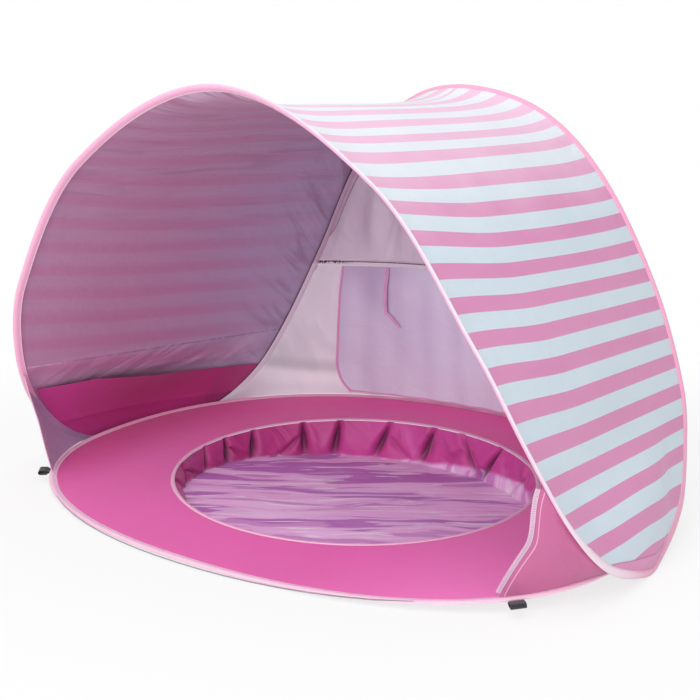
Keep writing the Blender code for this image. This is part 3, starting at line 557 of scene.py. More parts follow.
@functools.lru_cache(maxsize=None)
def canopy_station(distance):
    """The wire's place on the right side, the way into the cloth, and the way off it."""
    across = canopy_inward(distance)
    return CANOPY.at(distance), across, canopy_tangent(distance).cross(across).normalized()


# Length of the canopy's middle line from its top down to a place, for the printed stripes
shares = np.linspace(1.0, 0.0, LINE_PLACES)
middle_line = [canopy_point(float(share), 0.5) for share in shares]
steps = [0.0] + [(b - a).length for a, b in zip(middle_line, middle_line[1:])]
fallen = np.cumsum(steps)


def fall(share):
    """How far down the cloth a line is from the top."""
    return float(np.interp(1 - share, 1 - shares, fallen))


print("cloth from top to tip", round(fallen[-1], 3), "m")

# %% [markdown]
# ## Laying cloth
# Each panel starts as a primitive grid. Its points are moved to where the panel lies, its UV map
# is set in metres so that a weave or a print has its real size, and Solidify gives it the cloth's
# thickness. The outer face can have another finish than the inner one.

# %% Helpers for cloth pieces
def deselect():
    if bpy.context.mode != "OBJECT":
        bpy.ops.object.mode_set(mode="OBJECT")
    bpy.ops.object.select_all(action="DESELECT")


def pick(piece):
    deselect()
    piece.select_set(True)
    bpy.context.view_layer.objects.active = piece


WELD_REACH = 0.00001
SMOOTH_CLOTH = 50
SMOOTH_TUBE = 60
flat_sizes = {}


def grid(name, columns, rows, place):
    """A grid whose point at (u, v) goes to place(u, v), which gives a point and one or two UVs."""
    deselect()
    bpy.ops.mesh.primitive_grid_add(x_subdivisions=columns, y_subdivisions=rows, size=1.0)
    piece = bpy.context.active_object
    piece.name = name
    piece.data.name = name
    spots = [place(v.co.x + 0.5, v.co.y + 0.5) for v in piece.data.vertices]
    for vertex, spot in zip(piece.data.vertices, spots):
        vertex.co = spot[0]
    maps = [piece.data.uv_layers.active]
    if len(spots[0]) > 2:
        maps.append(piece.data.uv_layers.new(name="second"))
    for order, texture in enumerate(maps, start=1):
        for loop in piece.data.loops:
            texture.data[loop.index].uv = spots[loop.vertex_index][order]
    piece.data.uv_layers.active_index = 0
    piece.data.update()
    points = np.array([tuple(spot[0]) for spot in spots]).reshape(rows + 1, columns + 1, 3)
    across = np.linalg.norm(np.diff(points, axis=1), axis=2).sum(axis=1).max()
    down = np.linalg.norm(np.diff(points, axis=0), axis=2).sum(axis=0).max()
    flat_sizes[name] = (float(across), float(down))
    return piece


def weld(piece, outwards=False):
    """Joins the points that meet, such as a ring's two ends."""
    pick(piece)
    bpy.ops.object.mode_set(mode="EDIT")
    bpy.ops.mesh.select_all(action="SELECT")
    bpy.ops.mesh.remove_doubles(threshold=WELD_REACH)
    if outwards:
        bpy.ops.mesh.normals_make_consistent(inside=False)
    bpy.ops.object.mode_set(mode="OBJECT")
    return piece


def cut(piece, planes):
    """Keeps what lies inside planes of (point, outward normal)."""
    pick(piece)
    bpy.ops.object.mode_set(mode="EDIT")
    for point, normal in planes:
        bpy.ops.mesh.select_all(action="SELECT")
        bpy.ops.mesh.bisect(plane_co=point, plane_no=normal, clear_outer=True, threshold=WELD_REACH)
    bpy.ops.object.mode_set(mode="OBJECT")
    return piece


def dress(piece, materials):
    piece.data.materials.clear()
    for material in materials:
        piece.data.materials.append(material)


def smooth(piece, angle):
    pick(piece)
    bpy.ops.object.shade_smooth_by_angle(angle=math.radians(angle))
    print(piece.name, len(piece.data.polygons), "faces")
    return piece


def finish_cloth(piece, thickness, materials):
    """Thickness half to each side; a second material goes on the inner face."""
    wall = piece.modifiers.new("cloth", "SOLIDIFY")
    wall.thickness = thickness
    wall.offset = 0.0
    wall.use_even_offset = False
    wall.material_offset = len(materials) - 1
    dress(piece, materials)
    pick(piece)
    bpy.ops.object.modifier_apply(modifier=wall.name)
    return smooth(piece, SMOOTH_CLOTH)


def on_side(place, turn):
    """The same lay of cloth on the side that turn leads to."""
    def turned(u, v):
        point, texture = place(u, v)
        return turn(point), texture
    return turned


def soft(x, y, z):
    """Smooth noise between -1 and 1."""
    return noise.noise(Vector((x, y, z)))


# %% [markdown]
# ## The canopy's cloth
# Outside, the canopy is printed with pink and bluish white stripes that run from the front arch
# to the rear one. Inside is a silvery mauve coating, on which the stripes are painted faintly as the
# light that comes through the cloth. Both faces read the same UV map, so the painted stripes lie behind the
# print.

# %% The stripes and the lining
STRIPE_PERIOD = 0.0512
STRIPE_PINK = 0.48
STRIPE_START = fallen[-1] - 0.0318
STRIPES_FROM = 0.3
PRINT_PINK = (0.69, 0.235, 0.465)
PRINT_PINK_BLOTCH = (0.80, 0.36, 0.58)
PRINT_PALE = (0.62, 0.73, 0.81)
PRINT_PALE_BLOTCH = (0.67, 0.76, 0.84)
# The stripes' colours at the top of the roof, painted paler there as painted light.
PINK_AT_TOP = (0.90, 0.60, 0.78)
PALE_AT_TOP = (0.82, 0.84, 0.90)
TIP_SEAM_PINK = (0.42, 0.13, 0.28)
LINING = (0.52, 0.31, 0.46)
LINING_BLOTCH = (0.45, 0.26, 0.40)
LINING_REAR = (0.46, 0.40, 0.56)
LINING_PINK = (0.50, 0.17, 0.33)
TOP_CREASE_SHADE = (0.22, 0.11, 0.20)
TOP_GLINT = (0.72, 0.60, 0.70)
FRONT_EDGE_GLOW = (0.80, 0.68, 0.78)
FAN_CREASE_SHADE = (0.20, 0.12, 0.20)
FAN_HIGHLIGHT = (0.64, 0.54, 0.68)
SEAM_SHADE = (0.16, 0.06, 0.13)
SEAM_THREAD = (0.90, 0.80, 0.86)
PUCKER_SHADE = (0.28, 0.11, 0.22)
PUCKER_HIGHLIGHT = (0.76, 0.54, 0.68)
SEAM_OVER_POCKET = 0.203
POCKET_FOOT = 0.082
TIP_PINK = (0.40, 0.023, 0.165)
TIP_PINK_FRONT = (0.58, 0.056, 0.31)
TIP_PLAIN = (0.74, 0.30, 0.52)
TIP_SEAM_HEIGHT = 0.0285
TIP_SEAM_LEVEL_FROM = 0.030
TIP_SEAM_SLOPE = 0.17
EDGE_SOFT = 0.0005
CANOPY_WEAVE = 4200


def stripes(along, soft_edge):
    """1 on a pink stripe."""
    half = STRIPE_PINK / 2
    return ((along - STRIPE_START) / STRIPE_PERIOD).part().band(half, half, soft_edge)


def canopy_print():
    """Stripes painted paler towards the top as painted light, with a plain pink corner sewn on at each tip.
    """
    finish = Finish("canopy_print", roughness=0.62, sheen=0.2)
    across, along = finish.cloth()
    rearward, height = finish.second()
    mask = stripes(along, 0.012)
    blotch = finish.cloud(finish.place(), 9.0)
    # Painted light: the stripes turn paler towards the top, where the roof is lit most.
    lit_top = (height + blotch * 0.1).rise(0.52, 0.74)
    pink = finish.mix(lit_top, PRINT_PINK, PINK_AT_TOP)
    pink = finish.mix(blotch * 0.35, pink, PRINT_PINK_BLOTCH)
    white = finish.mix(blotch, PRINT_PALE, PRINT_PALE_BLOTCH)
    white = finish.mix(lit_top, white, PALE_AT_TOP)
    colour = finish.mix(mask, white, pink)
    curve = height - (TIP_SEAM_LEVEL_FROM - rearward).larger(0.0) * TIP_SEAM_SLOPE
    plain = 1 - curve.rise(TIP_SEAM_HEIGHT - EDGE_SOFT, TIP_SEAM_HEIGHT + EDGE_SOFT)
    colour = finish.mix(plain, colour, TIP_PLAIN)
    seam = curve.band(TIP_SEAM_HEIGHT, 0.0012, 0.0006)
    colour = finish.mix(seam * 0.6, colour, TIP_SEAM_PINK)
    weave = across.weave(along, CANOPY_WEAVE)
    crinkle = finish.cloud(finish.place(), 45.0, 4.0)
    pulls = finish.streaks(across * 3.0, along * 14.0, distortion=0.4)
    return finish.paint(colour, pulls * 3.0 + crinkle * 0.8 + weave * 0.03, 0.0014)


def canopy_lining():
    """Silvery mauve, with painted shade and highlights in the creases under the roof, in a fan of creases at
    the rear and in the puckers under the pocket's seam, a painted highlight along the front edge, and pink
    tips painted darker towards the rear as shade.
    """
    finish = Finish("canopy_lining", roughness=0.5, sheen=0.15, specular=0.45)
    across, along = finish.cloth()
    rearward, height = finish.second()
    mask = stripes(along, 0.16)
    blotch = finish.cloud(finish.place(), 5.0)
    silver = finish.mix(blotch, LINING, LINING_BLOTCH)
    silver = finish.mix(across.rise(-0.05, 0.45), silver, LINING_REAR)
    show = 1 - across.rise(0.10, 0.50) * 0.75
    # Painted light: the stripes show faintly where light comes through the cloth, less towards the rear.
    colour = finish.mix(mask * show * 0.42, silver, LINING_PINK)
    streak = finish.streaks(across * 4.5, along * 42.0, detail=3.0, distortion=0.8)
    top = height.rise(0.34, 0.66)
    # Painted shade in the creases under the roof.
    colour = finish.mix(streak.rise(0.52, 0.70) * (top * 0.26 + 0.05), colour, TOP_CREASE_SHADE)
    # Painted highlights on the creases near the top.
    glint = streak.rise(0.40, 0.30) * top
    colour = finish.mix(glint * 0.12, colour, TOP_GLINT)
    # Painted highlight along the front edge near the top.
    edge_glow = (1 - across.rise(-0.17, -0.12)) * height.rise(0.64, 0.71)
    colour = finish.mix(edge_glow * streak.rise(0.55, 0.40) * 0.7, colour, FRONT_EDGE_GLOW)
    fan = finish.streaks((height + rearward * 0.75) * 26.0, (rearward - height) * 4.0, distortion=0.3)
    near_rear = rearward.rise(0.16, 0.35)
    # Painted shade in the fan of creases at the rear, and painted highlights between them.
    colour = finish.mix(fan.rise(0.52, 0.64) * near_rear * 0.40, colour, FAN_CREASE_SHADE)
    colour = finish.mix(fan.rise(0.46, 0.36) * near_rear * 0.20, colour, FAN_HIGHLIGHT)
    broken = finish.streaks(rearward * 120.0, height * 120.0)
    seam = height.band(SEAM_OVER_POCKET, 0.0014, 0.0008) * broken.rise(0.30, 0.55)
    dash = rearward.dashes(0.0045, 0.3, 0.05)
    colour = finish.mix(seam * 0.5, colour, SEAM_SHADE)
    colour = finish.mix(seam * dash * (1 - rearward.rise(-0.20, -0.12)) * 0.8, colour, SEAM_THREAD)
    under = height.band(0.180, 0.024, 0.010)
    puckers = finish.streaks(rearward * 15.0 - height * 26.0, height * 8.0, distortion=0.6)
    # Painted shade in the puckers under the seam, and painted highlights on them.
    colour = finish.mix(puckers.rise(0.48, 0.64) * under * 0.20, colour, PUCKER_SHADE)
    colour = finish.mix(puckers.rise(0.46, 0.36) * under * 0.26, colour, PUCKER_HIGHLIGHT)
    tip = 1 - height.rise(POCKET_FOOT - EDGE_SOFT, POCKET_FOOT + EDGE_SOFT)
    # The tips take the pocket's pink, painted brighter at the front as light and darker towards the rear as
    # shade.
    colour = finish.mix(tip, colour, finish.mix(rearward.rise(-0.23, 0.05), TIP_PINK_FRONT, TIP_PINK))
    crinkle = finish.cloud(finish.place(), 50.0, 4.0)
    relief = streak * top * 1.2 + fan * near_rear * 3.0 + puckers * under * 2.2 + crinkle * 0.5
    return finish.paint(colour, relief, 0.003)


# %% The canopy's panel
CANOPY_COLUMNS = 72
CANOPY_ROWS = 300
LOWEST_SHARE = 0.014
ROWS_TOWARDS_TIP = 1.12
RIPPLE = 0.0020
PULLS = 0.0012
RIPPLE_FULLNESS = 0.7
RIPPLES_FACE_FROM = 0.1
STRIPE_LEAN = -0.022
LEAN_AT_TIP = 0.039
TIP_LEAN = (0.18, 0.02)
TIP_BEND = 0.014
TIP_DROP = 0.003
TIP_PART = (0.18, 0.10)
TIP_BEND_ACROSS = (0.55, 0.0)
PUSH_DRAWS = 0.25
FRONT_DROP = 0.011
FRONT_DROP_BEGINS = (0.15, 0.35)
FRONT_DROP_ENDS = (0.68, 0.58)
FRONT_DROP_ACROSS = (0.35, 0.0)
SHOULDER_RISE = 0.006
SHOULDER = (0.53, 0.07)
TOP_DROP = 0.012
TOP_DROP_AT = (0.70, 0.05)


def hump(value, middle, half):
    """1 at the middle, falling away on both sides."""
    return math.exp(-((value - middle) / half) ** 2)


def stripe_place(share, across, push):
    """Metres down the cloth as the stripes count them; they lean and wave a little."""
    down = fall(share)
    from_tip = fallen[-1] - down
    lean = STRIPE_LEAN + LEAN_AT_TIP * ramp(from_tip, *TIP_LEAN)
    wave = ramp(from_tip, *TIP_PART) * (TIP_BEND * ramp(across, *TIP_BEND_ACROSS) - TIP_DROP)
    wave -= PUSH_DRAWS * push
    at_front = ramp(from_tip, *FRONT_DROP_BEGINS) * ramp(from_tip, *FRONT_DROP_ENDS)
    wave -= FRONT_DROP * at_front * ramp(across, *FRONT_DROP_ACROSS)
    wave += SHOULDER_RISE * math.sin(math.pi * across) * hump(from_tip, *SHOULDER)
    wave -= TOP_DROP * hump(from_tip, *TOP_DROP_AT)
    return down - lean * (across - STRIPES_FROM) - wave


def canopy_place(u, v):
    """u runs from the front arch to the rear one, v from the left tip over the top."""
    side = 2 * v - 1
    share = LOWEST_SHARE + (1 - LOWEST_SHARE) * (1 - abs(side)) ** ROWS_TOWARDS_TIP
    point = free_point(share, u)
    push = floor_push(point, min(u, 1 - u))
    point.x += push
    width = (canopy_edge(front_at(share)) - canopy_edge(rear_at(share))).length
    ripple = RIPPLE * soft(u * 2.2, side * 8.0, 0.0) + PULLS * soft(u * 1.5, side * 34.0, 7.0)
    normal = Vector((point.x, 0.0, point.z - RIPPLES_FACE_FROM)).normalized()
    point += normal * (ripple * math.sin(math.pi * u) ** RIPPLE_FULLNESS)
    down = stripe_place(share, u, push)
    second = (point.y, point.z)
    if side < 0:
        return mirrored(point), ((u - STRIPES_FROM) * width, -down), second
    return point, ((u - STRIPES_FROM) * width, down), second


canopy = grid("canopy_sheet", CANOPY_COLUMNS, CANOPY_ROWS, canopy_place)
finish_cloth(canopy, CLOTH, [canopy_lining(), canopy_print()])
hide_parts("canopy_cloth")

# %% [markdown]
# ## The folded bindings
# A strip of light pink cloth is folded over each wire and sewn to the panel along a thin lip. Its
# section is round where the wire runs and flat at the lip, and the sewing puckers the lip.

# %% Binding finish and section
# Lit and shaded tones of the one light pink binding cloth, painted as light and shade.
ARCH_PALE = (0.97, 0.80, 0.90)
ARCH_PINK = (0.91, 0.47, 0.66)
ARCH_REAR = (0.88, 0.39, 0.57)
ARCH_LEFT = (0.91, 0.58, 0.75)
HOOP_TOP = (0.93, 0.56, 0.73)
HOOP_BELOW = (0.97, 0.80, 0.88)
HOOP_REAR = (0.97, 0.40, 0.62)
LIP_PINK = (0.93, 0.60, 0.76)
SECTION = [(-7.0, 0.0), (-6.2, 1.5), (-4.2, 2.5), (-1.6, 2.9), (1.0, 2.5), (3.0, 1.5), (4.3, 1.0),
           (7.0, 0.8), (7.0, -0.8), (4.3, -1.0), (3.0, -1.5), (1.0, -2.5), (-1.6, -2.9),
           (-4.2, -2.5), (-6.2, -1.5)]
PUCKER = 0.00035
STEP_ALONG = 0.006
STITCH_PITCH = 0.0042
STITCH_FROM_LIP_MIDDLE = 0.0022
LIP_TURN_SOFT = 0.0005
BINDING_WEAVE = 5200
STITCH_PALE = (0.97, 0.90, 0.94)


def ring_lengths(section):
    """Metres round a section in millimetres, at each point and in all."""
    marks = [0.0]
    for a, b in zip(section, section[1:] + section[:1]):
        marks.append(marks[-1] + math.dist(a, b) * MM)
    return marks


LIP_BEGINS, LIP_CORNER, LIP_OTHER_CORNER, LIP_ENDS = ring_lengths(SECTION)[6:10]


def binding_finish(name, outside, inside, rear, at_left):
    """Pink, painted in lit and shaded tones by side, face and place towards the rear, with a row of stitches
    along the lip; UV x runs round the section.
    """
    finish = Finish(name, roughness=0.6, sheen=0.3)
    round_it, along = finish.cloth()
    side, rearward = finish.split(finish.solid())
    # Painted light and shade: the outer face paler on the right and pinker at the left, the inner face and
    # the rear in other tones.
    turned = round_it.rise(LIP_CORNER - LIP_TURN_SOFT, LIP_OTHER_CORNER + LIP_TURN_SOFT)
    outer = finish.mix(side.rise(-0.30, 0.05), at_left, outside)
    colour = finish.mix(turned, outer, inside)
    colour = finish.mix(rearward.rise(-0.12, 0.04), colour, rear)
    middle = (LIP_BEGINS + LIP_ENDS) / 2
    lip = round_it.band(middle, (LIP_ENDS - LIP_BEGINS) / 2, 0.0006)
    colour = finish.mix(lip * 0.5, colour, LIP_PINK)
    blotch = finish.cloud(finish.place(), 30.0)
    colour = finish.mix(blotch * 0.12, colour, darker(inside, 0.8))
    upper_row = round_it.band(middle - STITCH_FROM_LIP_MIDDLE, 0.0004, 0.0002)
    lower_row = round_it.band(middle + STITCH_FROM_LIP_MIDDLE, 0.0004, 0.0002)
    stitch = (upper_row + lower_row) * along.dashes(STITCH_PITCH)
    colour = finish.mix(stitch * 0.8, colour, STITCH_PALE)
    pucker = finish.streaks(round_it * 60.0, along * 220.0)
    weave = along.weave(round_it, BINDING_WEAVE)
    return finish.paint(colour, pucker * 0.8 - stitch * 0.7 + weave * 0.05, 0.0010)


ARCH_BINDING = binding_finish("arch_binding_cloth", ARCH_PALE, ARCH_PINK, ARCH_REAR, ARCH_LEFT)
HOOP_BINDING = binding_finish("hoop_binding_cloth", HOOP_TOP, HOOP_BELOW, HOOP_REAR, HOOP_TOP)


def tube(name, stations, section, material):
    """A closed ring: a section swept along stations of (middle, across, up, length so far)."""
    columns = len(section)
    rows = len(stations) - 1
    marks = ring_lengths(section)

    def place(u, v):
        k = round(u * columns)
        x, y = section[k % columns]
        centre, across, up, run = stations[round(v * rows)]
        towards_lip = max(0.0, x * MM / BINDING_WIDTH + 0.5)
        wave = PUCKER * soft(run * 130.0, k % columns * 13.0, 0.0) * towards_lip
        return centre + across * (x * MM) + up * (y * MM + wave), (marks[k], run)

    piece = weld(grid(name, columns, rows, place), outwards=True)
    dress(piece, [material])
    return smooth(piece, SMOOTH_TUBE)


# %% The canopy hoop's binding
ARCH_MIDDLE_HEIGHT = 0.33
SLEEVE_TURN = 0.60
SLEEVE_TURN_LOW = 0.06
SLEEVE_TURN_HIGH = 0.20


@functools.lru_cache(maxsize=None)
def sleeve_station(distance):
    """The binding is turned part of the way from the cloth into the arch's own plane."""
    centre, across = canopy_station(distance)[:2]
    tangent = canopy_tangent(distance)
    inward = Vector((0.0, centre.y, ARCH_MIDDLE_HEIGHT)) - centre
    inward = (inward - tangent * inward.dot(tangent)).normalized()
    share = ramp(centre.z, SLEEVE_TURN_LOW, SLEEVE_TURN_HIGH)
    turned = (across + inward * (SLEEVE_TURN * share)).normalized()
    return centre, turned, tangent.cross(turned).normalized()


def hoop_stations(step, station):
    """Stations down the right side from the front arch's top, and back along the left side."""
    count = round(CANOPY.length / step)
    places = [CANOPY.length * i / count for i in range(count + 1)]
    right = [(*station(p), p) for p in places]
    left = [(*(mirrored(v) for v in station(p)), 2 * CANOPY.length - p) for p in places[:-1]]
    return right + left[::-1]


canopy_binding = tube("canopy_hoop_sleeve", hoop_stations(STEP_ALONG, sleeve_station), SECTION,
                      ARCH_BINDING)
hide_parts("front_arch_binding", "rear_arch_binding")

# %% The floor hoop's binding
floor_count = round(FLOOR.length / STEP_ALONG)
floor_places = [FLOOR.length * i / floor_count for i in range(floor_count + 1)]
floor_stations = [(*floor_station(place), place) for place in floor_places]
floor_binding = tube("floor_hoop_sleeve", floor_stations, SECTION, HOOP_BINDING)
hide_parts("floor_hoop_binding")

# %% [markdown]
# ## The floor ring
# A smooth deep pink panel fills the ring between the floor hoop and the pool's opening. It is
# stretched, so it only dips slightly, with small puckers where the pool's edge is sewn on.

# %% Floor panel
FLOOR_CLOTH = 0.0012
POOL_EDGE_WIDTH = 0.007
POOL_EDGE_THICKNESS = 0.0032
FLOOR_PINK = (0.76, 0.100, 0.40)
FLOOR_PINK_REAR = (0.92, 0.052, 0.38)
FLOOR_PINK_RIGHT = (0.97, 0.190, 0.57)
FLOOR_PINK_LEFT = (0.67, 0.038, 0.27)
FLOOR_COLUMNS = 360
FLOOR_ROWS = 18
FLOOR_DIP = 0.0022
FLOOR_PUCKER = 0.0009
CLOTH_WEAVE = 4600


def floor_finish():
    """Deep pink, painted brighter to the rear and to the right as light, and darker at the far left as shade.
    """
    finish = Finish("floor_cloth", roughness=0.55, sheen=0.25)
    across, along = finish.cloth()
    spot = finish.solid()
    blotch = finish.cloud(spot, 5.0)
    side, rearward = finish.split(spot)
    colour = finish.mix(blotch, FLOOR_PINK, darker(FLOOR_PINK, 1.12))
    # Painted light and shade: brighter to the rear and to the right, darker at the far left.
    colour = finish.mix(rearward.rise(-0.15, 0.28), colour, FLOOR_PINK_REAR)
    colour = finish.mix(side.rise(0.15, 0.50) * (1 - rearward.rise(0.0, 0.25)), colour, FLOOR_PINK_RIGHT)
    colour = finish.mix(side.rise(-0.36, -0.54), colour, FLOOR_PINK_LEFT)
    weave = across.weave(along, CLOTH_WEAVE)
    crinkle = finish.cloud(spot, 30.0, 4.0)
    folds = finish.cloud(spot, 7.0, 2.0)
    return finish.paint(colour, crinkle * 0.5 + folds * 2.0 + weave * 0.05, 0.0014)


def floor_place(u, v):
    """u runs round the ring, v from the hoop to the pool; the puckers gather at the pool."""
    centre, across = floor_station(FLOOR.length * (u % 1.0))[:2]
    outer = centre + across * (BINDING_WIDTH / 2 + GAP)
    angle = math.atan2((centre.y - POOL_CENTRE_Y) / POOL_HALF_DEPTH, centre.x / POOL_HALF_WIDTH)
    inner = pool_point(angle, -POOL_EDGE_WIDTH / 2 - GAP)
    dip = FLOOR_DIP * math.sin(math.pi * v) ** 2
    pucker = FLOOR_PUCKER * soft(u * 160.0, v * 2.0, 3.0) * v ** 3 * (1 - v) * 4
    point = outer.lerp(inner, v) + FLOOR_NORMAL * (pucker - dip)
    return point, (FLOOR.length * u, (inner - outer).length * v)


floor_panel = weld(grid("floor_ring", FLOOR_COLUMNS, FLOOR_ROWS, floor_place))
finish_cloth(floor_panel, FLOOR_CLOTH, [floor_finish()])
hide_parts("floor_panel")

# %% [markdown]
# ## The pool
# The pool's bag is gathered into the oval opening, so its wall falls in deep pleats, wide and
# smooth between narrow creases that lean this way and that. Its bottom lies flat and is printed
# with a rippled water pattern.

# %% The pool's edge
EDGE_SECTION = [(-3.5, 0.0), (-2.6, 1.25), (-0.6, 1.6), (1.4, 1.5), (3.0, 0.9), (3.5, 0.0),
                (3.0, -0.9), (1.4, -1.5), (-0.6, -1.6), (-2.6, -1.25)]
EDGE_STITCH_AT = ring_lengths(EDGE_SECTION)[3]
POOL_STEPS = 320
ANGLE_REACH = 0.01


def edge_finish():
    """Light pink piping with a row of stitches."""
    finish = Finish("pool_edge_cloth", roughness=0.55, sheen=0.3)
    round_it, along = finish.cloth()
    pucker = finish.streaks(round_it * 60.0, along * 200.0)
    colour = finish.mix(pucker, (0.90, 0.55, 0.72), (0.84, 0.40, 0.60))
    stitch = round_it.band(EDGE_STITCH_AT, 0.0003, 0.0002) * along.dashes(0.0040)
    colour = finish.mix(stitch * 0.7, colour, (0.96, 0.88, 0.92))
    return finish.paint(colour, pucker - stitch * 0.6, 0.0008)


def edge_stations():
    """Stations round the pool's opening, whose lip faces outwards."""
    made = []
    run = 0.0
    last = pool_point(0.0)
    for i in range(POOL_STEPS + 1):
        angle = 2 * math.pi * i / POOL_STEPS
        point = pool_point(angle % (2 * math.pi))
        run += (point - last).length
        tangent = pool_point(angle + ANGLE_REACH) - pool_point(angle - ANGLE_REACH)
        made.append((point, -tangent.cross(FLOOR_NORMAL).normalized(), FLOOR_NORMAL, run))
        last = point
    return made


pool_edge = tube("pool_edge_piping", edge_stations(), EDGE_SECTION, edge_finish())
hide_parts("pool_edge_binding")

# %% The pool's gathered wall
POOL_PINK = (0.58, 0.048, 0.285)
POOL_PLEATS = 23
PRINT_TURN = 36
PRINT_CLIMB = 0.085
PRINT_REACH = 0.010
POOL_WALL_DRAW_IN = 0.016
POOL_FLOOR_THICKNESS = 0.0015
POOL_WALL_COLUMNS = 900
POOL_WALL_ROWS = 26
POOL_WALL_SIZE = (2.1, 0.06)
POOL_BULGE = 0.0065
POOL_CREASE = 0.0115
POOL_RUMPLE = 0.0016
POOL_EASE = (0.12, 0.87)
PLEAT_ANGLE = 2 * math.pi / POOL_PLEATS
CREASE_STRAYS = 0.42
CREASE_LEANS = 1.3
CREASE_DEPTH = 0.85
CREASE_DEPTH_VARIES = 0.5
CREASE_DRIFT = 0.75
CREASE_WIDTH = 0.055
CREASE_WIDENS = 0.10
BRANCH_BEGINS = 0.30
BRANCH_FROM_CREASE = 0.2
BRANCH_LEAN = 1.2
BRANCH_DEPTH = 0.55
BRANCH_FADE = 0.15


def crease_angles():
    """Where creases begin along the opening, from how far down, how each leans, and its depth."""
    made = []
    for k in range(POOL_PLEATS):
        angle = PLEAT_ANGLE * (k + CREASE_STRAYS * soft(k * 3.7, 1.3, 0.0))
        lean = CREASE_LEANS * soft(k * 2.1, 7.9, 0.0)
        depth = CREASE_DEPTH + CREASE_DEPTH_VARIES * soft(k * 5.3, 4.1, 0.0)
        made.append((angle, 0.0, lean, depth))
        if k % 2:
            branch = angle + lean * PLEAT_ANGLE * BRANCH_FROM_CREASE
            back = -math.copysign(BRANCH_LEAN, lean)
            made.append((branch, BRANCH_BEGINS, back, BRANCH_DEPTH * depth))
    return made


CREASES = crease_angles()


def pleat_depth(angle, down):
    """How far the cloth is drawn outwards at a place: deep and narrow at a crease."""
    deepest = 0.0
    for top, begins, lean, depth in CREASES:
        if down < begins:
            continue
        run = down - begins
        here = top + lean * PLEAT_ANGLE * CREASE_DRIFT * run
        away = abs((angle - here + math.pi) % (2 * math.pi) - math.pi) / PLEAT_ANGLE
        width = CREASE_WIDTH + CREASE_WIDENS * down
        if away < 3 * width:
            fade = smoothstep(run / BRANCH_FADE) if begins else 1.0
            deepest = max(deepest, fade * depth * hump(away, 0.0, width))
    return deepest


def pool_wall_place(u, v):
    """u runs round the opening, v from its edge down to the pool's bottom."""
    angle = 2 * math.pi * (u % 1.0)
    ease = math.sin(math.pi * (POOL_EASE[0] + (POOL_EASE[1] - POOL_EASE[0]) * v))
    pull = pleat_depth(angle, v)
    rumple = POOL_RUMPLE * soft(math.cos(angle) * 5, math.sin(angle) * 5, v * 2.5)
    inset = POOL_WALL_DRAW_IN * v + ease * (POOL_BULGE * (1 - pull) - POOL_CREASE * pull + rumple)
    point = pool_point(angle, inset)
    top = point.z - POOL_EDGE_THICKNESS / 2 - GAP
    foot = POOL_FLOOR_THICKNESS + SEW_GAP
    point.z = top + (foot - top) * v
    # The second UV carries how deep each crease is, for the painted shade in it.
    return point, (POOL_WALL_SIZE[0] * u, POOL_WALL_SIZE[1] * v), (pull * ease, v)


def ripples(finish):
    """The water print: lilac, with purple troughs and light streaks that run aslant."""
    x, y = finish.split(finish.solid())
    turn = math.radians(PRINT_TURN)
    p = x * math.cos(turn) + y * math.sin(turn)
    q = y * math.cos(turn) - x * math.sin(turn)
    drift = finish.streaks(p * 3.0, q * 5.0, 4.0)
    swell = finish.streaks(p * 2.4, q * 13.0 + drift * 2.0, distortion=0.2)
    streak = finish.streaks(p * 4.5, q * 36.0 + drift * 4.0, 2.0, distortion=0.3)
    fine = finish.streaks(p * 9.0, q * 90.0 + drift * 7.0, 5.0, distortion=0.4)
    colour = finish.mix((swell + q * 0.25).rise(0.50, 0.54), (0.92, 0.50, 0.84), (0.56, 0.18, 0.58))
    colour = finish.mix(streak.rise(0.53, 0.55) * 0.75, colour, (0.95, 0.64, 0.93))
    colour = finish.mix(streak.rise(0.44, 0.42) * 0.50, colour, (0.46, 0.11, 0.48))
    return finish.mix(fine.rise(0.60, 0.63) * 0.85, colour, (0.98, 0.84, 0.97))


def pool_wall_finish():
    """Deep pink gathers with painted shade in the creases, in the slanted folds and along the left, and
    painted highlights between the slanted folds; the print of the bottom runs a little way up the right side.
    """
    finish = Finish("pool_wall_cloth", roughness=0.5, sheen=0.2, specular=0.45)
    across, along = finish.cloth()
    fold = finish.second()[0]
    blotch = finish.streaks(across * 14.0, along * 20.0)
    colour = finish.mix(blotch, POOL_PINK, (0.66, 0.075, 0.36))
    slant = finish.streaks(across * 20.0 + along * 16.0, along * 12.0 - across * 5.0, distortion=0.5)
    # Painted shade in the slanted folds, and painted highlights between them.
    colour = finish.mix(slant.rise(0.56, 0.70) * 0.4, colour, (0.24, 0.015, 0.11))
    colour = finish.mix(slant.rise(0.42, 0.30) * 0.3, colour, (0.80, 0.22, 0.56))
    side = finish.split(finish.solid())[0]
    # Painted shade along the left of the pool.
    colour = finish.mix((1 - side.rise(-0.32, -0.12)) * 0.6, colour, (0.36, 0.012, 0.13))
    reach = side.larger(-0.10) * PRINT_CLIMB + PRINT_REACH + (blotch - 0.5) * 0.012
    printed = 1 - (finish.height() - reach).rise(-0.004, 0.006)
    colour = finish.mix(printed * 0.85, colour, ripples(finish))
    # Painted shade deep in the gathers' creases.
    colour = finish.mix(fold.rise(0.20, 0.85) * 0.9, colour, (0.13, 0.010, 0.065))
    return finish.paint(colour, slant * 3.0, 0.0020)


pool_wall = weld(grid("pool_gathers", POOL_WALL_COLUMNS, POOL_WALL_ROWS, pool_wall_place))
finish_cloth(pool_wall, CLOTH, [pool_wall_finish()])
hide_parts("pool_wall")

# %% The pool's printed bottom
BOTTOM_INSET = 0.010
BOTTOM_SPOKES = 160
BOTTOM_RINGS = 24


def bottom_finish():
    finish = Finish("water_print", roughness=0.45, sheen=0.1, specular=0.5)
    crinkle = finish.cloud(finish.solid(), 28.0, 4.0)
    return finish.paint(ripples(finish), crinkle * 1.6, 0.0014)


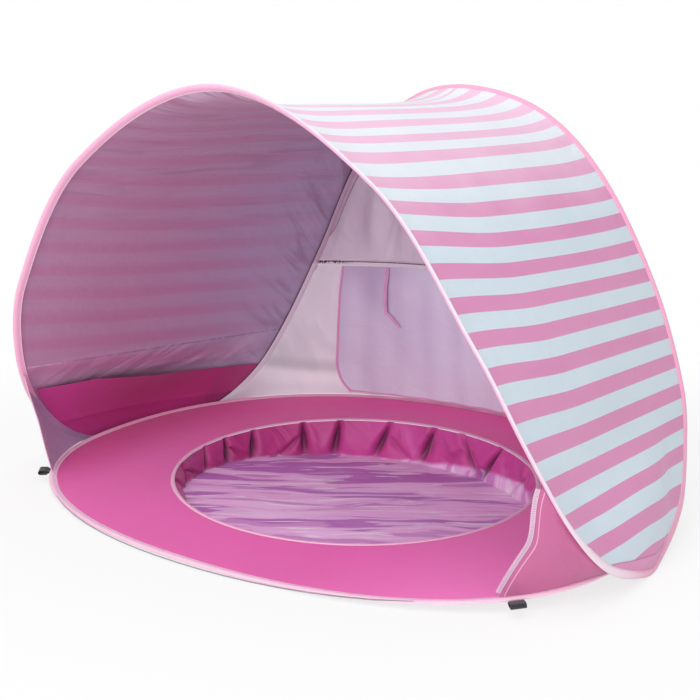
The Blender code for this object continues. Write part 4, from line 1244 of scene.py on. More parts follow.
def bottom_place(u, v):
    """u runs round the pool, v from its edge to the middle."""
    angle = 2 * math.pi * (u % 1.0)
    edge = pool_point(angle, BOTTOM_INSET)
    middle = Vector((0.0, POOL_CENTRE_Y, 0.0))
    point = middle.lerp(edge, 1 - v)
    point.z = POOL_FLOOR_THICKNESS / 2
    return point, (point.x, point.y)


pool_bottom = weld(grid("pool_bottom", BOTTOM_SPOKES, BOTTOM_RINGS, bottom_place))
finish_cloth(pool_bottom, POOL_FLOOR_THICKNESS, [bottom_finish()])
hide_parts("pool_floor")

# %% [markdown]
# ## The sand pockets
# Inside each tip a deep pink pocket is sewn to the canopy along its bottom and its two ends, and
# stands open along its top. Sand in the pockets weighs the tent down.

# %% Sand pockets and their hems
POCKET_BOTTOM = 0.080
POCKET_TOP = 0.1635
POCKET_TOP_SLOPE = -0.032
POCKET_DEPTH = 0.017
POCKET_END = 0.02
POCKET_FULLNESS = 0.7
POCKET_FLARE = 1.3
POCKET_STAND_OFF = 0.0018
POCKET_HEM_WIDTH = 0.010
POCKET_HEM_THICKNESS = 0.0016
POCKET_COLUMNS = 110
POCKET_ROWS = 44
POCKET_SHARES = (0.05, 0.29)
POCKET_RUFFLE = 0.0012
POCKET_RUN = 0.55
SLOPE_REACH = 0.004
POCKET_PINK = (0.42, 0.024, 0.175)
POCKET_FRONT = (0.62, 0.060, 0.33)


def pocket_finish(name, hem):
    """Deep pink, painted brighter towards the front as light and darker to the rear as shade; a hem has a row
    of stitches.
    """
    finish = Finish(name, roughness=0.6, sheen=0.2)
    across, along = finish.cloth()
    blotch = finish.cloud(finish.place(), 8.0)
    # Painted light and shade: brighter at the front, darker towards the rear.
    colour = finish.mix(across.rise(0.02, 0.36), POCKET_FRONT, POCKET_PINK)
    colour = finish.mix(blotch * 0.5, colour, (0.52, 0.05, 0.24))
    if hem:
        stitch = across.dashes(STITCH_PITCH, soft=0.08) * along.band(0.003, 0.0006, 0.0003)
        colour = finish.mix(stitch * 0.7, colour, (0.75, 0.25, 0.48))
    crinkle = finish.cloud(finish.place(), 40.0, 4.0)
    weave = across.weave(along, CLOTH_WEAVE)
    return finish.paint(colour, crinkle * 0.8 + weave * 0.05, 0.0012)


def pocket_place(u, v):
    """The pocket leaves the canopy's inner face more and more from its bottom to its mouth."""
    share = POCKET_SHARES[0] + (POCKET_SHARES[1] - POCKET_SHARES[0]) * v
    u = POCKET_END + (1 - 2 * POCKET_END) * u
    point = canopy_point(share, u)
    rearward = canopy_point(share, min(1.0, u + SLOPE_REACH))
    along = rearward - canopy_point(share, max(0.0, u - SLOPE_REACH))
    upward = canopy_point(share + SLOPE_REACH, u) - point
    inward = upward.cross(along).normalized()
    if inward.x > 0:
        inward = -inward
    rise = max(0.0, (point.z - POCKET_BOTTOM) / (POCKET_TOP - POCKET_BOTTOM))
    middle = math.sin(math.pi * u)
    belly = POCKET_DEPTH * middle ** POCKET_FULLNESS * rise ** POCKET_FLARE
    ruffle = POCKET_RUFFLE * soft(u * 14.0, v * 3.0, 5.0) * min(1.0, rise) * middle
    point += inward * (POCKET_STAND_OFF + belly + ruffle)
    return point, (u * POCKET_RUN, point.z)


def mouth(drop, keep_above=False):
    """A plane that lies by a drop below the pocket's top edge."""
    point = (0.0, 0.0, POCKET_TOP - drop)
    normal = (0.0, POCKET_TOP_SLOPE, 1.0)
    return (point, tuple(-n for n in normal)) if keep_above else (point, normal)


POCKET_CLOTH = pocket_finish("pocket_cloth", False)
HEM_CLOTH = pocket_finish("pocket_hem_cloth", True)
pockets = {}
for word, turn in SIDES.items():
    side_place = on_side(pocket_place, turn)
    body = grid(f"pocket_{word}", POCKET_COLUMNS, POCKET_ROWS, side_place)
    cut(body, [((0.0, 0.0, POCKET_BOTTOM), (0.0, 0.0, -1.0)), mouth(POCKET_HEM_WIDTH + GAP)])
    finish_cloth(body, CLOTH, [POCKET_CLOTH])
    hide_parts(f"sand_pocket_{word}")
    hem = grid(f"pocket_edge_{word}", POCKET_COLUMNS, POCKET_ROWS, side_place)
    cut(hem, [mouth(POCKET_HEM_WIDTH, True), mouth(0.0)])
    finish_cloth(hem, POCKET_HEM_THICKNESS, [HEM_CLOTH])
    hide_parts(f"pocket_hem_{word}")
    pockets[word] = (body, hem)

# %% [markdown]
# ## Gussets
# A small triangle of thin pink cloth ties the front of each tip to the floor hoop. A ribbed tape
# runs up its front edge, which is cut hollow. Further back the cloth's upper edge wraps the arch's
# binding on the inside.

# %% Gussets and their tapes
GUSSET_TOP_HEIGHT = 0.198
GUSSET_FRONT_Y = -0.252
GUSSET_END_Y = -0.075
GUSSET_TAPE_WIDTH = 0.0068
GUSSET_TAPE_THICKNESS = 0.0016
TAPE_BELOW_ARCH = 0.004
TAPE_ABOVE_FLOOR = 0.006
MOST_INTO_CLOTH = 0.3
GUSSET_HOLLOW = 0.125
GUSSET_FOOT_OUT = 0.73
GUSSET_HOLLOW_TO = 0.5
GUSSET_FOOT_FROM = 0.20
GUSSET_WRAP = 0.10
WRAP_FROM = 0.14
WRAP_FULL = 0.34
WRAP_PAST_LIP = (0.0015, 0.0016)
WRAP_BEND = (0.002, 0.0052)
GUSSET_RUMPLE = 0.0016
GUSSET_COLUMNS = 40
GUSSET_ROWS = 60
TAPE_COLUMNS = 8
TAPE_ROWS = 48
PANEL_GAP = 0.0004
GUSSET_PINK = (0.50, 0.125, 0.28)
GUSSET_MAUVE = (0.41, 0.27, 0.44)
GUSSET_LENGTH = 0.19
GUSSET_TOP_AT = CANOPY.find(GUSSET_TOP_HEIGHT, 2, 0.0, TIP_AT)
GUSSET_END_AT = CANOPY.find(GUSSET_END_Y, 1, GUSSET_TOP_AT, TIP_AT)


def leave_binding(station, towards):
    """Where a panel that runs towards a point starts, clear of the binding's surface."""
    centre, across, up = station
    away = (towards - centre).normalized()
    away = (away - across * max(0.0, away.dot(across) - MOST_INTO_CLOTH)).normalized()
    flat = away.dot(across) / (BINDING_WIDTH / 2)
    thick = away.dot(up) / (BINDING_THICKNESS / 2)
    beside = up * math.copysign(CLOTH / 2, thick)
    return centre + away * (1 / math.hypot(flat, thick) + PANEL_GAP) + beside


@functools.lru_cache(maxsize=None)
def tie_ends(arch_place, foot_place):
    """Where a line of cloth leaves the arch's binding, and where it meets the floor hoop's."""
    upper = canopy_station(arch_place)
    lower = floor_station(foot_place)
    return leave_binding(upper, lower[0]), leave_binding(lower, upper[0])


def arc(begin, pull, end, share):
    """A bend from one point to another that is drawn towards a third."""
    return begin * (1 - share) ** 2 + pull * (2 * share * (1 - share)) + end * share ** 2


gusset_foot = (floor_place_right(GUSSET_FRONT_Y, True), floor_place_right(GUSSET_END_Y, True))


def gusset_place(u, v):
    """u runs from the front edge to the rear corner, v from the arch down to the floor hoop."""
    hollow = GUSSET_HOLLOW * ramp(v, 0.0, GUSSET_HOLLOW_TO)
    hollow *= 1 - GUSSET_FOOT_OUT * ramp(v, GUSSET_FOOT_FROM, 1.0)
    from_edge = (1 - hollow) * u
    u = hollow + from_edge
    arch_place = GUSSET_TOP_AT + (GUSSET_END_AT - GUSSET_TOP_AT) * u
    foot_place = gusset_foot[0] + (gusset_foot[1] - gusset_foot[0]) * u
    top, foot = tie_ends(round(arch_place, 6), round(foot_place, 6))
    point = top.lerp(foot, v)
    wraps = ramp(u, WRAP_FROM, WRAP_FULL)
    if v < GUSSET_WRAP and wraps > 0:
        centre, across, up = sleeve_station(round(arch_place, 6))
        inside = -up if up.x > 0 else up
        lip = centre + across * (BINDING_WIDTH / 2 + WRAP_PAST_LIP[0]) + inside * WRAP_PAST_LIP[1]
        bend = centre + across * WRAP_BEND[0] + inside * WRAP_BEND[1]
        over = arc(lip, bend, top.lerp(foot, GUSSET_WRAP), v / GUSSET_WRAP)
        point = point.lerp(over, wraps)
    sag = GUSSET_RUMPLE * math.sin(math.pi * v) * soft(u * 5.0, v * 2.0, 9.0)
    return point + Vector((sag, 0.0, 0.0)), (from_edge * GUSSET_LENGTH, v * (top - foot).length)


def gusset_finish(name, colour):
    """Thin cloth with a line of piping beside its front edge, and painted shade further back from it."""
    finish = Finish(name, roughness=0.55, sheen=0.25)
    across, along = finish.cloth()
    blotch = finish.cloud(finish.place(), 14.0)
    shade = finish.mix(blotch, colour, darker(colour, 1.25))
    piping = across.band(0.0065, 0.0008, 0.0004)
    shade = finish.mix(piping * 0.8, shade, (0.86, 0.50, 0.66))
    # Painted shade further back from the front edge, under the arch.
    shade = finish.mix(across.rise(0.10, 0.18) * 0.45, shade, darker(colour, 0.5))
    crinkle = finish.streaks(across * 30.0, along * 70.0, detail=3.0)
    return finish.paint(shade, crinkle * 1.2, 0.0012)


def tape_finish():
    """Pale pink ribbed tape."""
    finish = Finish("ribbed_tape", roughness=0.7, sheen=0.3)
    across, along = finish.cloth()
    ribs = (along * 2100).wave()
    edge = across.band(0.0034, 0.0022, 0.0006)
    colour = finish.mix(edge, (0.80, 0.48, 0.66), (0.62, 0.40, 0.55))
    colour = finish.mix(ribs.rise(-0.4, 0.8) * 0.45, colour, (0.86, 0.66, 0.78))
    return finish.paint(colour, ribs * 0.5, 0.0006)


GUSSET_OUTSIDE = gusset_finish("gusset_cloth", GUSSET_PINK)
GUSSET_INSIDE = gusset_finish("gusset_cloth_inside", GUSSET_MAUVE)
TAPE = tape_finish()
top_corner = gusset_place(0.0, 0.0)[0]
foot_corner = gusset_place(0.0, 1.0)[0]
gusset_depth = (foot_corner - top_corner).length
TAPE_FROM = TAPE_BELOW_ARCH / gusset_depth
TAPE_TO = 1 - TAPE_ABOVE_FLOOR / gusset_depth
TAPE_REACH = 0.01
INTO_GUSSET = 0.05


def tape_place(u, v):
    """The tape follows the gusset's front edge and stands out from it."""
    down = TAPE_FROM + (TAPE_TO - TAPE_FROM) * v
    edge = gusset_place(0.0, down)[0]
    after = gusset_place(0.0, min(1.0, down + TAPE_REACH))[0]
    before = gusset_place(0.0, max(0.0, down - TAPE_REACH))[0]
    run = (after - before).normalized()
    away = edge - gusset_place(INTO_GUSSET, down)[0]
    away = (away - run * away.dot(run)).normalized()
    out = GUSSET_TAPE_WIDTH * u
    return edge + away * (CLOTH / 2 + GAP + out), (out, gusset_depth * down)


gussets = []
for word, turn in SIDES.items():
    panel = grid(f"gusset_cloth_{word}", GUSSET_COLUMNS, GUSSET_ROWS, on_side(gusset_place, turn))
    faces = [GUSSET_INSIDE, GUSSET_OUTSIDE] if word == "right" else [GUSSET_OUTSIDE, GUSSET_INSIDE]
    finish_cloth(panel, CLOTH, faces)
    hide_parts(f"gusset_{word}")
    tape = grid(f"gusset_edge_{word}", TAPE_COLUMNS, TAPE_ROWS, on_side(tape_place, turn))
    finish_cloth(tape, GUSSET_TAPE_THICKNESS, [TAPE])
    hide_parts(f"gusset_tape_{word}")
    gussets.append((panel, tape))

# %% [markdown]
# ## The back wall
# The wall hangs from the rear arch to the floor hoop. A level seam parts it: above, the cloth
# falls in soft upright folds, and below it is pulled smoother and holds the net window. Along the
# arch a narrow strip faces the join inside the tent.

# %% The wall's surface
WALL_START_Y = 0.200
SEAM_HEIGHT = 0.357
SEAM_RISE = 0.0055
SEAM_BEND = 0.13
SEAM_TAPE_WIDTH = 0.010
SEAM_TAPE_THICKNESS = 0.0018
WINDOW_HALF_WIDTH = 0.265
WINDOW_BOTTOM = 0.131
WINDOW_TOP = SEAM_HEIGHT - 0.027
NET_THICKNESS = 0.0006
WALL_COLUMNS = 260
UPPER_ROWS = 60
SEAM_ROWS = 6
LOWER_ROWS = 90
FOLD_DEPTH = 0.0055
FOLDS_BEGIN_OVER = 0.07
FOLD_COUNT = 34.0
FOLD_FAN = (0.42, 0.35)
FOLD_STRAYS = 2.4
LOWER_RUMPLE = 0.0022
EDGE_CALM = 0.12
NET_COLUMNS = 90
NET_ROWS = 40
rear_side_at = CANOPY.find(HOOP_POINTS[11][2], 2, TIP_AT, CANOPY.length)
WALL_START_AT = CANOPY.find(WALL_START_Y, 1, TIP_AT, rear_side_at)
wall_foot = floor_place_right(WALL_START_Y, False)


@functools.lru_cache(maxsize=None)
def wall_ends(u):
    """Top and foot of the wall's line at u, on the right side; 0 is its tip, 1 the middle."""
    arch_place = WALL_START_AT + (CANOPY.length - WALL_START_AT) * u
    foot_place = wall_foot + (FLOOR.length - wall_foot) * u
    return tie_ends(round(arch_place, 6), round(foot_place, 6))


def smooth_wall(u, v):
    """The wall without folds; u runs from the right tip to the left one, v from the arch down."""
    top, foot = wall_ends(round(1 - abs(2 * u - 1), 6))
    point = top.lerp(foot, v)
    return point if u < 0.5 else mirrored(point)


def wall_folds(point):
    """How far the folds push the cloth to the rear; they fan out from the arch's top."""
    over = clamp((point.z - seam_height(point.x)) / FOLDS_BEGIN_OVER)
    fan = point.x / (FOLD_FAN[0] - FOLD_FAN[1] * (point.z - SEAM_HEIGHT))
    strays = FOLD_STRAYS * soft(point.x * 6, point.z * 3, 0.0)
    fold = FOLD_DEPTH * math.sin(FOLD_COUNT * fan + strays) * over
    under = clamp((SEAM_HEIGHT - point.z) / 0.04) * clamp((point.z - 0.12) / 0.05)
    return fold + LOWER_RUMPLE * soft(point.x * 7.0, point.z * 5.0, 2.0) * under


def seam_height(x):
    """The seam rises towards the wall's middle."""
    return SEAM_HEIGHT + SEAM_RISE - SEAM_BEND * x * x


@functools.lru_cache(maxsize=None)
def seam_at(u):
    """How far down the wall the seam lies, from 0 at the arch to 1 at the floor hoop."""
    low, high = 0.0, 1.0
    top = smooth_wall(u, 0.0)
    if top.z <= seam_height(top.x):
        return 0.0
    for _ in range(24):
        middle = (low + high) / 2
        point = smooth_wall(u, middle)
        if point.z > seam_height(point.x):
            low = middle
        else:
            high = middle
    return low


def wall_place(u, v):
    """The wall with its folds, which calm down towards its edges."""
    point = smooth_wall(u, v)
    edge = min(v, 1 - v, 5 * u, 5 * (1 - u))
    point.y += wall_folds(point) * min(1.0, edge / EDGE_CALM)
    from_arch = ARCH_LINE.find((abs(point.x), 0.0, point.z))[2]
    return point, (point.x, point.z), (from_arch, point.z - seam_height(point.x))


@functools.lru_cache(maxsize=None)
def wall_run(u):
    """Height of the wall at u, along its cloth."""
    return (smooth_wall(u, 1.0) - smooth_wall(u, 0.0)).length


ARCH_STEPS = 800
ARCH_LINE = KDTree(ARCH_STEPS + 1)
for i in range(ARCH_STEPS + 1):
    spot = CANOPY.at(WALL_START_AT + (CANOPY.length - WALL_START_AT) * i / ARCH_STEPS)
    ARCH_LINE.insert((spot.x, 0.0, spot.z), i)
ARCH_LINE.balance()

COARSE_COLUMNS = 80
COARSE_ROWS = 40
wall_points = [smooth_wall(i / COARSE_COLUMNS, j / COARSE_ROWS)
               for j in range(COARSE_ROWS + 1) for i in range(COARSE_COLUMNS + 1)]
corners = [j * (COARSE_COLUMNS + 1) + i for j in range(COARSE_ROWS) for i in range(COARSE_COLUMNS)]
wall_quads = [(k, k + 1, k + COARSE_COLUMNS + 2, k + COARSE_COLUMNS + 1) for k in corners]
WALL = BVHTree.FromPolygons(wall_points, wall_quads)
BEHIND_ARCH_Y = 0.37


def wall_y(x, z):
    """The y of the smooth wall at a place."""
    hit = WALL.ray_cast(Vector((x, 0.0, z)), Vector((0.0, 1.0, 0.0)))[0]
    if hit is None:
        hit = WALL.find_nearest(Vector((x, BEHIND_ARCH_Y, z)))[0]
    return hit.y


# %% Wall finishes
FACING_MAUVE = (0.55, 0.41, 0.52)
FACING_LOW = (0.72, 0.62, 0.70)
SEAM_DARK = (0.055, 0.025, 0.050)


def wall_finish(name, left, right, light, fold_scale, facing):
    """Silvery cloth, painted darker to the left as shade, with painted shade in slanted creases, a painted
    highlight on a fold above the seam, painted shade and sheen in bands near the left foot, and a sewn strip
    along the arch that narrows downwards.
    """
    finish = Finish(name, roughness=0.5, sheen=0.2, specular=0.45)
    across, along = finish.cloth()
    from_arch, above_seam = finish.second()
    # Painted shade: darker to the left.
    shade = finish.mix(across.rise(-0.34, 0.02), left, right)
    blotch = finish.streaks(across * 7.0 + along * 2.0, along * 2.5)
    shade = finish.mix(blotch.rise(0.38, 0.62) * 0.6, shade, light)
    slant = finish.streaks((across + along) * 12.0, (along - across) * 3.0, 3.0, distortion=0.3)
    # Painted shade in the slanted creases.
    shade = finish.mix(slant.rise(0.54, 0.70) * 0.25, shade, darker(left, 0.6))
    # Painted highlight on a fold line above the seam.
    fold = (across - above_seam * 0.36).band(-0.200, 0.008, 0.007) * above_seam.rise(0.0, 0.02)
    shade = finish.mix(fold * 0.6, shade, (0.88, 0.82, 0.88))
    # Painted shade and a painted sheen in bands near the left foot.
    foot = 1 - across.rise(-0.26, -0.16)
    shade = finish.mix(along.band(0.138, 0.010, 0.009) * foot * 0.5, shade, darker(left, 0.62))
    shade = finish.mix(along.band(0.114, 0.011, 0.009) * foot * 0.7, shade, (0.97, 0.95, 0.97))
    strip_from, strip_to, strip_width, strip_colour = facing
    edge = from_arch - above_seam.rise(strip_from, strip_to) * strip_width
    shade = finish.mix(1 - edge.rise(-0.0004, 0.0004), shade, strip_colour)
    shade = finish.mix(edge.band(0.0, 0.0010, 0.0008) * 0.75, shade, SEAM_DARK)
    creases = finish.streaks(across * fold_scale, along * 5.0, detail=3.0, distortion=0.5)
    crinkle = finish.cloud(finish.place(), 45.0, 4.0)
    weave = across.weave(along, CANOPY_WEAVE)
    return finish.paint(shade, creases * 2.4 + slant * 2.0 + crinkle * 0.6 + weave * 0.03, 0.0018)


def seam_finish():
    """Pale, with a thin dark join that is thicker and crinkled at the left."""
    finish = Finish("wall_seam_cloth", roughness=0.6, sheen=0.2)
    across, along = finish.cloth()
    above_seam = finish.second()[1]
    crinkle = finish.streaks(across * 260.0, along * 160.0)
    thick = 1 - across.rise(-0.33, -0.27)
    line = above_seam.band(0.0014, 0.0008, 0.0005) * (crinkle.rise(0.30, 0.48) * 0.5 + 0.5)
    wide = above_seam.band(0.0010, 0.0030, 0.0012) * thick * crinkle.rise(0.42, 0.52)
    dark = line.larger(wide)
    colour = finish.mix(dark, (0.82, 0.72, 0.80), SEAM_DARK)
    colour = finish.mix(above_seam.rise(0.0022, 0.0030) * (1 - dark), colour, (0.60, 0.52, 0.60))
    return finish.paint(colour, crinkle * 1.2 - line, 0.0012)


def net_finish():
    """Fine net: round holes on a close grid."""
    finish = Finish("window_net_mesh", roughness=0.7, sheen=0.2)
    across, along = finish.cloth()
    crest = (across * 1800).wave().size().larger((along * 1800).wave().size())
    threads = crest.rise(0.80, 0.95)
    return finish.paint((0.62, 0.55, 0.60), threads, 0.0003, Alpha=threads * 0.75 + 0.25)


# %% Wall panels, seam and net
LOWER_WALL = wall_finish("wall_cloth_lower", left=(0.80, 0.77, 0.81), right=(0.80, 0.74, 0.82),
                         light=(0.88, 0.84, 0.89), fold_scale=12.0,
                         facing=(-0.060, 0.0, 0.010, FACING_LOW))
UPPER_WALL = wall_finish("wall_cloth_upper", left=(0.60, 0.49, 0.59), right=(0.76, 0.73, 0.81),
                         light=(0.82, 0.78, 0.84), fold_scale=26.0,
                         facing=(0.022, 0.085, 0.017, FACING_MAUVE))
FACING_COLUMNS = 240
FACING_ROWS = 8
FACING_THICKNESS = 0.0006
FACING_INTO_CANOPY = SEW_GAP + 0.0020
FACING_CORNER = (0.002, 0.004)
FACING_DOWN_WALL = 0.006
FACING_SIZE = (1.4, 0.014)


@functools.lru_cache(maxsize=None)
def facing_points(u):
    """Over the arch's binding inside the tent: at the canopy's edge, past the lip, at the wall."""
    right = 1 - abs(2 * u - 1)
    distance = WALL_START_AT + (CANOPY.length - WALL_START_AT) * right
    centre, across, up = canopy_station(round(distance, 6))
    top, foot = wall_ends(round(right, 6))
    down = (foot - top).normalized()
    inside = up if up.dot(down) > 0 else -up
    lip = centre + across * (BINDING_WIDTH / 2)
    edge = lip + across * FACING_INTO_CANOPY + inside * (CLOTH + FACING_THICKNESS)
    corner = lip + across * FACING_CORNER[0] + inside * (BINDING_THICKNESS / 2 + FACING_CORNER[1])
    meet = top + down * FACING_DOWN_WALL + across * PANEL_GAP
    return edge, corner, meet


def facing_place(u, v):
    """v is 0 at the canopy and 1 at the wall."""
    point = arc(*facing_points(u), v)
    if u > 0.5:
        point = mirrored(point)
    texture = (u * FACING_SIZE[0], v * FACING_SIZE[1])
    return point, texture, (point.z - seam_height(point.x), v)


def facing_finish():
    """Mauve over the wall's seam, pale below, and dark where it is sewn on."""
    finish = Finish("arch_seam_facing", roughness=0.6, sheen=0.2)
    along = finish.cloth()[1]
    above_seam = finish.second()[0]
    blotch = finish.cloud(finish.solid(), 30.0)
    upper = above_seam.rise(-0.004, 0.004)
    colour = finish.mix(upper, FACING_LOW, FACING_MAUVE)
    dark = 1 - along.rise(0.0012, 0.0034)
    colour = finish.mix(dark, colour, SEAM_DARK)
    return finish.paint(colour, blotch, 0.0010)


def wall_grid(name, rows, u_range, v_range):
    """A grid on the wall between the two values of v_range(u), over u_range."""
    def place(u, v):
        u = u_range[0] + (u_range[1] - u_range[0]) * u
        low, high = v_range(u)
        return wall_place(u, low + (high - low) * v)
    return weld(grid(name, WALL_COLUMNS, rows, place))


seam_starts = min(u for u in np.linspace(0.0, 0.5, 501) if seam_at(float(u)) > 0.0)
half_seam = SEAM_TAPE_WIDTH / 2
SEAM_INSET = 0.002


def share_of_seam(u):
    """Half the seam's width as a share of the wall's height, with a gap."""
    return (half_seam + GAP) / wall_run(u)


def upper_range(u):
    return 0.0, max(0.0, seam_at(u) - share_of_seam(u))


def seam_range(u):
    half = half_seam / wall_run(u)
    return max(0.0, seam_at(u) - half), max(0.001, seam_at(u) + half)


def lower_range(u):
    return (0.0 if seam_at(u) == 0.0 else seam_at(u) + share_of_seam(u)), 1.0


seam_span = (seam_starts + SEAM_INSET, 1 - seam_starts - SEAM_INSET)
upper_wall = wall_grid("wall_upper", UPPER_ROWS, seam_span, upper_range)
finish_cloth(upper_wall, CLOTH, [UPPER_WALL])
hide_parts("back_wall_upper")
wall_seam = wall_grid("wall_seam", SEAM_ROWS, seam_span, seam_range)
finish_cloth(wall_seam, SEAM_TAPE_THICKNESS, [seam_finish()])
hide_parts("back_seam_tape")

# The lower wall is parted along the window's four edges, and the faces between them go
lower_wall = wall_grid("wall_lower", LOWER_ROWS, (0.0, 1.0), lower_range)
pick(lower_wall)
bpy.ops.object.mode_set(mode="EDIT")
for point, normal in (((WINDOW_HALF_WIDTH, 0, 0), (1, 0, 0)), ((-WINDOW_HALF_WIDTH, 0, 0), (1, 0, 0)),
                      ((0, 0, WINDOW_BOTTOM), (0, 0, 1)), ((0, 0, WINDOW_TOP), (0, 0, 1))):
    bpy.ops.mesh.select_all(action="SELECT")
    bpy.ops.mesh.bisect(plane_co=point, plane_no=normal, threshold=WELD_REACH)
bpy.ops.mesh.select_all(action="DESELECT")
bpy.ops.object.mode_set(mode="OBJECT")
for face in lower_wall.data.polygons:
    centre = face.center
    face.select = abs(centre.x) < WINDOW_HALF_WIDTH and WINDOW_BOTTOM < centre.z < WINDOW_TOP
bpy.ops.object.mode_set(mode="EDIT")
bpy.ops.mesh.delete(type="FACE")
bpy.ops.object.mode_set(mode="OBJECT")
finish_cloth(lower_wall, CLOTH, [LOWER_WALL])
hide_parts("back_wall_lower")

facing = grid("arch_facing", FACING_COLUMNS, FACING_ROWS, facing_place)
finish_cloth(facing, FACING_THICKNESS, [facing_finish()])


def net_place(u, v):
    """The net fills the window and shares the wall's folds, but for its edges."""
    x = (2 * u - 1) * (WINDOW_HALF_WIDTH - GAP)
    z = WINDOW_BOTTOM + GAP + (WINDOW_TOP - WINDOW_BOTTOM - 2 * GAP) * v
    point = Vector((x, wall_y(x, z), z))
    ease = min(1.0, min(u, 1 - u) / 0.05, min(v, 1 - v) / 0.1)
    point.y += wall_folds(point) * ease
    return point, (x, z)


window_net = grid("net_window", NET_COLUMNS, NET_ROWS, net_place)
finish_cloth(window_net, NET_THICKNESS, [net_finish()])
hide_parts("window_net")

# %% [markdown]
# ## The window flap
# A lilac flap is sewn under the seam and hangs over the window inside the tent. Its edges are
# bound in pink, and a ribbon on each side ties it up when it is rolled.

# %% The flap's surface
FLAP_HALF_WIDTH = WINDOW_HALF_WIDTH + 0.040
FLAP_BOTTOM = WINDOW_BOTTOM - 0.0355
FLAP_TOP = SEAM_HEIGHT - 0.008
FLAP_SEAT = 0.0018
FLAP_OFFSET = 0.0065
FLAP_FOOT_LEAVES = -0.0010
FLAP_FOLDS = 9
FLAP_FOLD_DEPTH = 0.0022
FLAP_FOLD_EASE = 0.060
FLAP_RUMPLE = 0.0012
FLAP_SWELL = 0.004
SWELL_TO = 0.7
FLAP_CORNER = 0.034
CORNER_FROM = 0.72
CORNER_ROUNDNESS = 2.2
TRIM_WIDTH = 0.005
TRIM_THICKNESS = 0.0020
TRIM_REACH = CLOTH / 2 + GAP + TRIM_WIDTH
FOOT_TRIM = 0.0030
FLAP_COLUMNS = 150
FLAP_ROWS = 56
TRIM_COLUMNS = 4
TRIM_ROWS = 72
FOOT_ROWS = 2


def hanging(z):
    """How far down the flap a height is, from 0 at its top to 1 at its foot."""
    return (FLAP_TOP - z) / (FLAP_TOP - FLAP_BOTTOM)


def leaving(z):
    """How far the flap has left the wall at a height, from 0 at the seam to 1."""
    return min(1.0, (FLAP_TOP - z) / FLAP_FOLD_EASE)


def flap_distance(z):
    """How far the flap hangs in front of the wall, without its folds."""
    return FLAP_SEAT + (FLAP_OFFSET - FLAP_SEAT) * leaving(z) + FLAP_FOOT_LEAVES * hanging(z)


def flap_height(x, z, hangs):
    """The flap's top edge follows the seam, and its foot is level."""
    return z + (seam_height(x) - SEAM_HEIGHT) * (1 - hangs)


def flap_point(x, z):
    """A place on the flap, with its soft upright folds."""
    wave = FLAP_FOLD_DEPTH * math.sin(math.pi * FLAP_FOLDS * x / FLAP_HALF_WIDTH)
    folds = (wave + FLAP_RUMPLE * soft(x * 9.0, z * 9.0, 4.0)) * leaving(z)
    height = flap_height(x, z, hanging(z))
    return Vector((x, wall_y(x, height) - flap_distance(z) + folds, height))


def flap_half(z):
    """Half the flap's width: it swells a little and rounds in at its lower corners."""
    swell = FLAP_SWELL * math.sin(math.pi * clamp(hanging(z) / SWELL_TO))
    at_corner = max(0.0, (min(1.0, hanging(z)) - CORNER_FROM) / (1 - CORNER_FROM))
    return FLAP_HALF_WIDTH + swell - FLAP_CORNER * at_corner ** CORNER_ROUNDNESS


def flap_finish():
    """Lilac, painted darker to the left as shade, with a fold line near its upper left corner painted as a
    faint highlight.
    """
    finish = Finish("flap_cloth", roughness=0.5, sheen=0.2, specular=0.45)
    across, along = finish.cloth()
    blotch = finish.streaks(across * 5.0, along * 4.0, distortion=0.6)
    # Painted shade: darker to the left.
    side = across.rise(-0.26, -0.05)
    colour = finish.mix(side, (0.54, 0.43, 0.62), (0.78, 0.75, 0.91))
    colour = finish.mix(blotch.rise(0.35, 0.65) * 0.5, colour, (0.86, 0.83, 0.94))
    # Painted highlight along the fold line.
    crease = (along + across * 0.02).band(0.226, 0.0014, 0.0012) * (1 - across.rise(-0.27, -0.20))
    colour = finish.mix(crease * 0.18, colour, (0.90, 0.84, 0.94))
    crossing = finish.streaks(across * 9.0 + along * 14.0, along * 11.0 - across * 6.0, detail=3.0)
    crinkle = finish.cloud(finish.place(), 50.0, 4.0)
    return finish.paint(colour, crossing * 2.6 + crinkle * 0.6 + crease * 0.3, 0.0018)


def trim_finish(name, colour, ribs_per_metre):
    """Ribbed pink trim."""
    finish = Finish(name, roughness=0.55, sheen=0.3)
    blotch = finish.cloud(finish.solid(), 60.0)
    shade = finish.mix(blotch, colour, darker(colour, 0.82))
    ribs = (finish.cloth()[1] * ribs_per_metre).wave()
    return finish.paint(shade, ribs * 0.4 + blotch, 0.0006)


FLAP_TRIM = trim_finish("flap_trim_cloth", (0.95, 0.40, 0.72), 3000.0)
RIBBON = trim_finish("ribbon_satin", (0.97, 0.52, 0.82), 4200.0)


def flap_grid(name, columns, rows, place_x, bottom, top, thickness, material):
    """A piece of the flap's surface, where place_x gives x from u and the height."""
    def place(u, v):
        z = bottom + (top - bottom) * v
        x = place_x(u, z)
        return flap_point(x, z), (x, z)
    return finish_cloth(grid(name, columns, rows, place), thickness, [material])


def across_flap(reach):
    """Across the whole flap and past its edges by a reach."""
    return lambda u, z: (2 * u - 1) * (flap_half(max(z, FLAP_BOTTOM)) + reach)


def beside_flap(side):
    """Outwards along one of the flap's edges."""
    return lambda u, z: side * (flap_half(z) + GAP + (TRIM_REACH - GAP) * u)


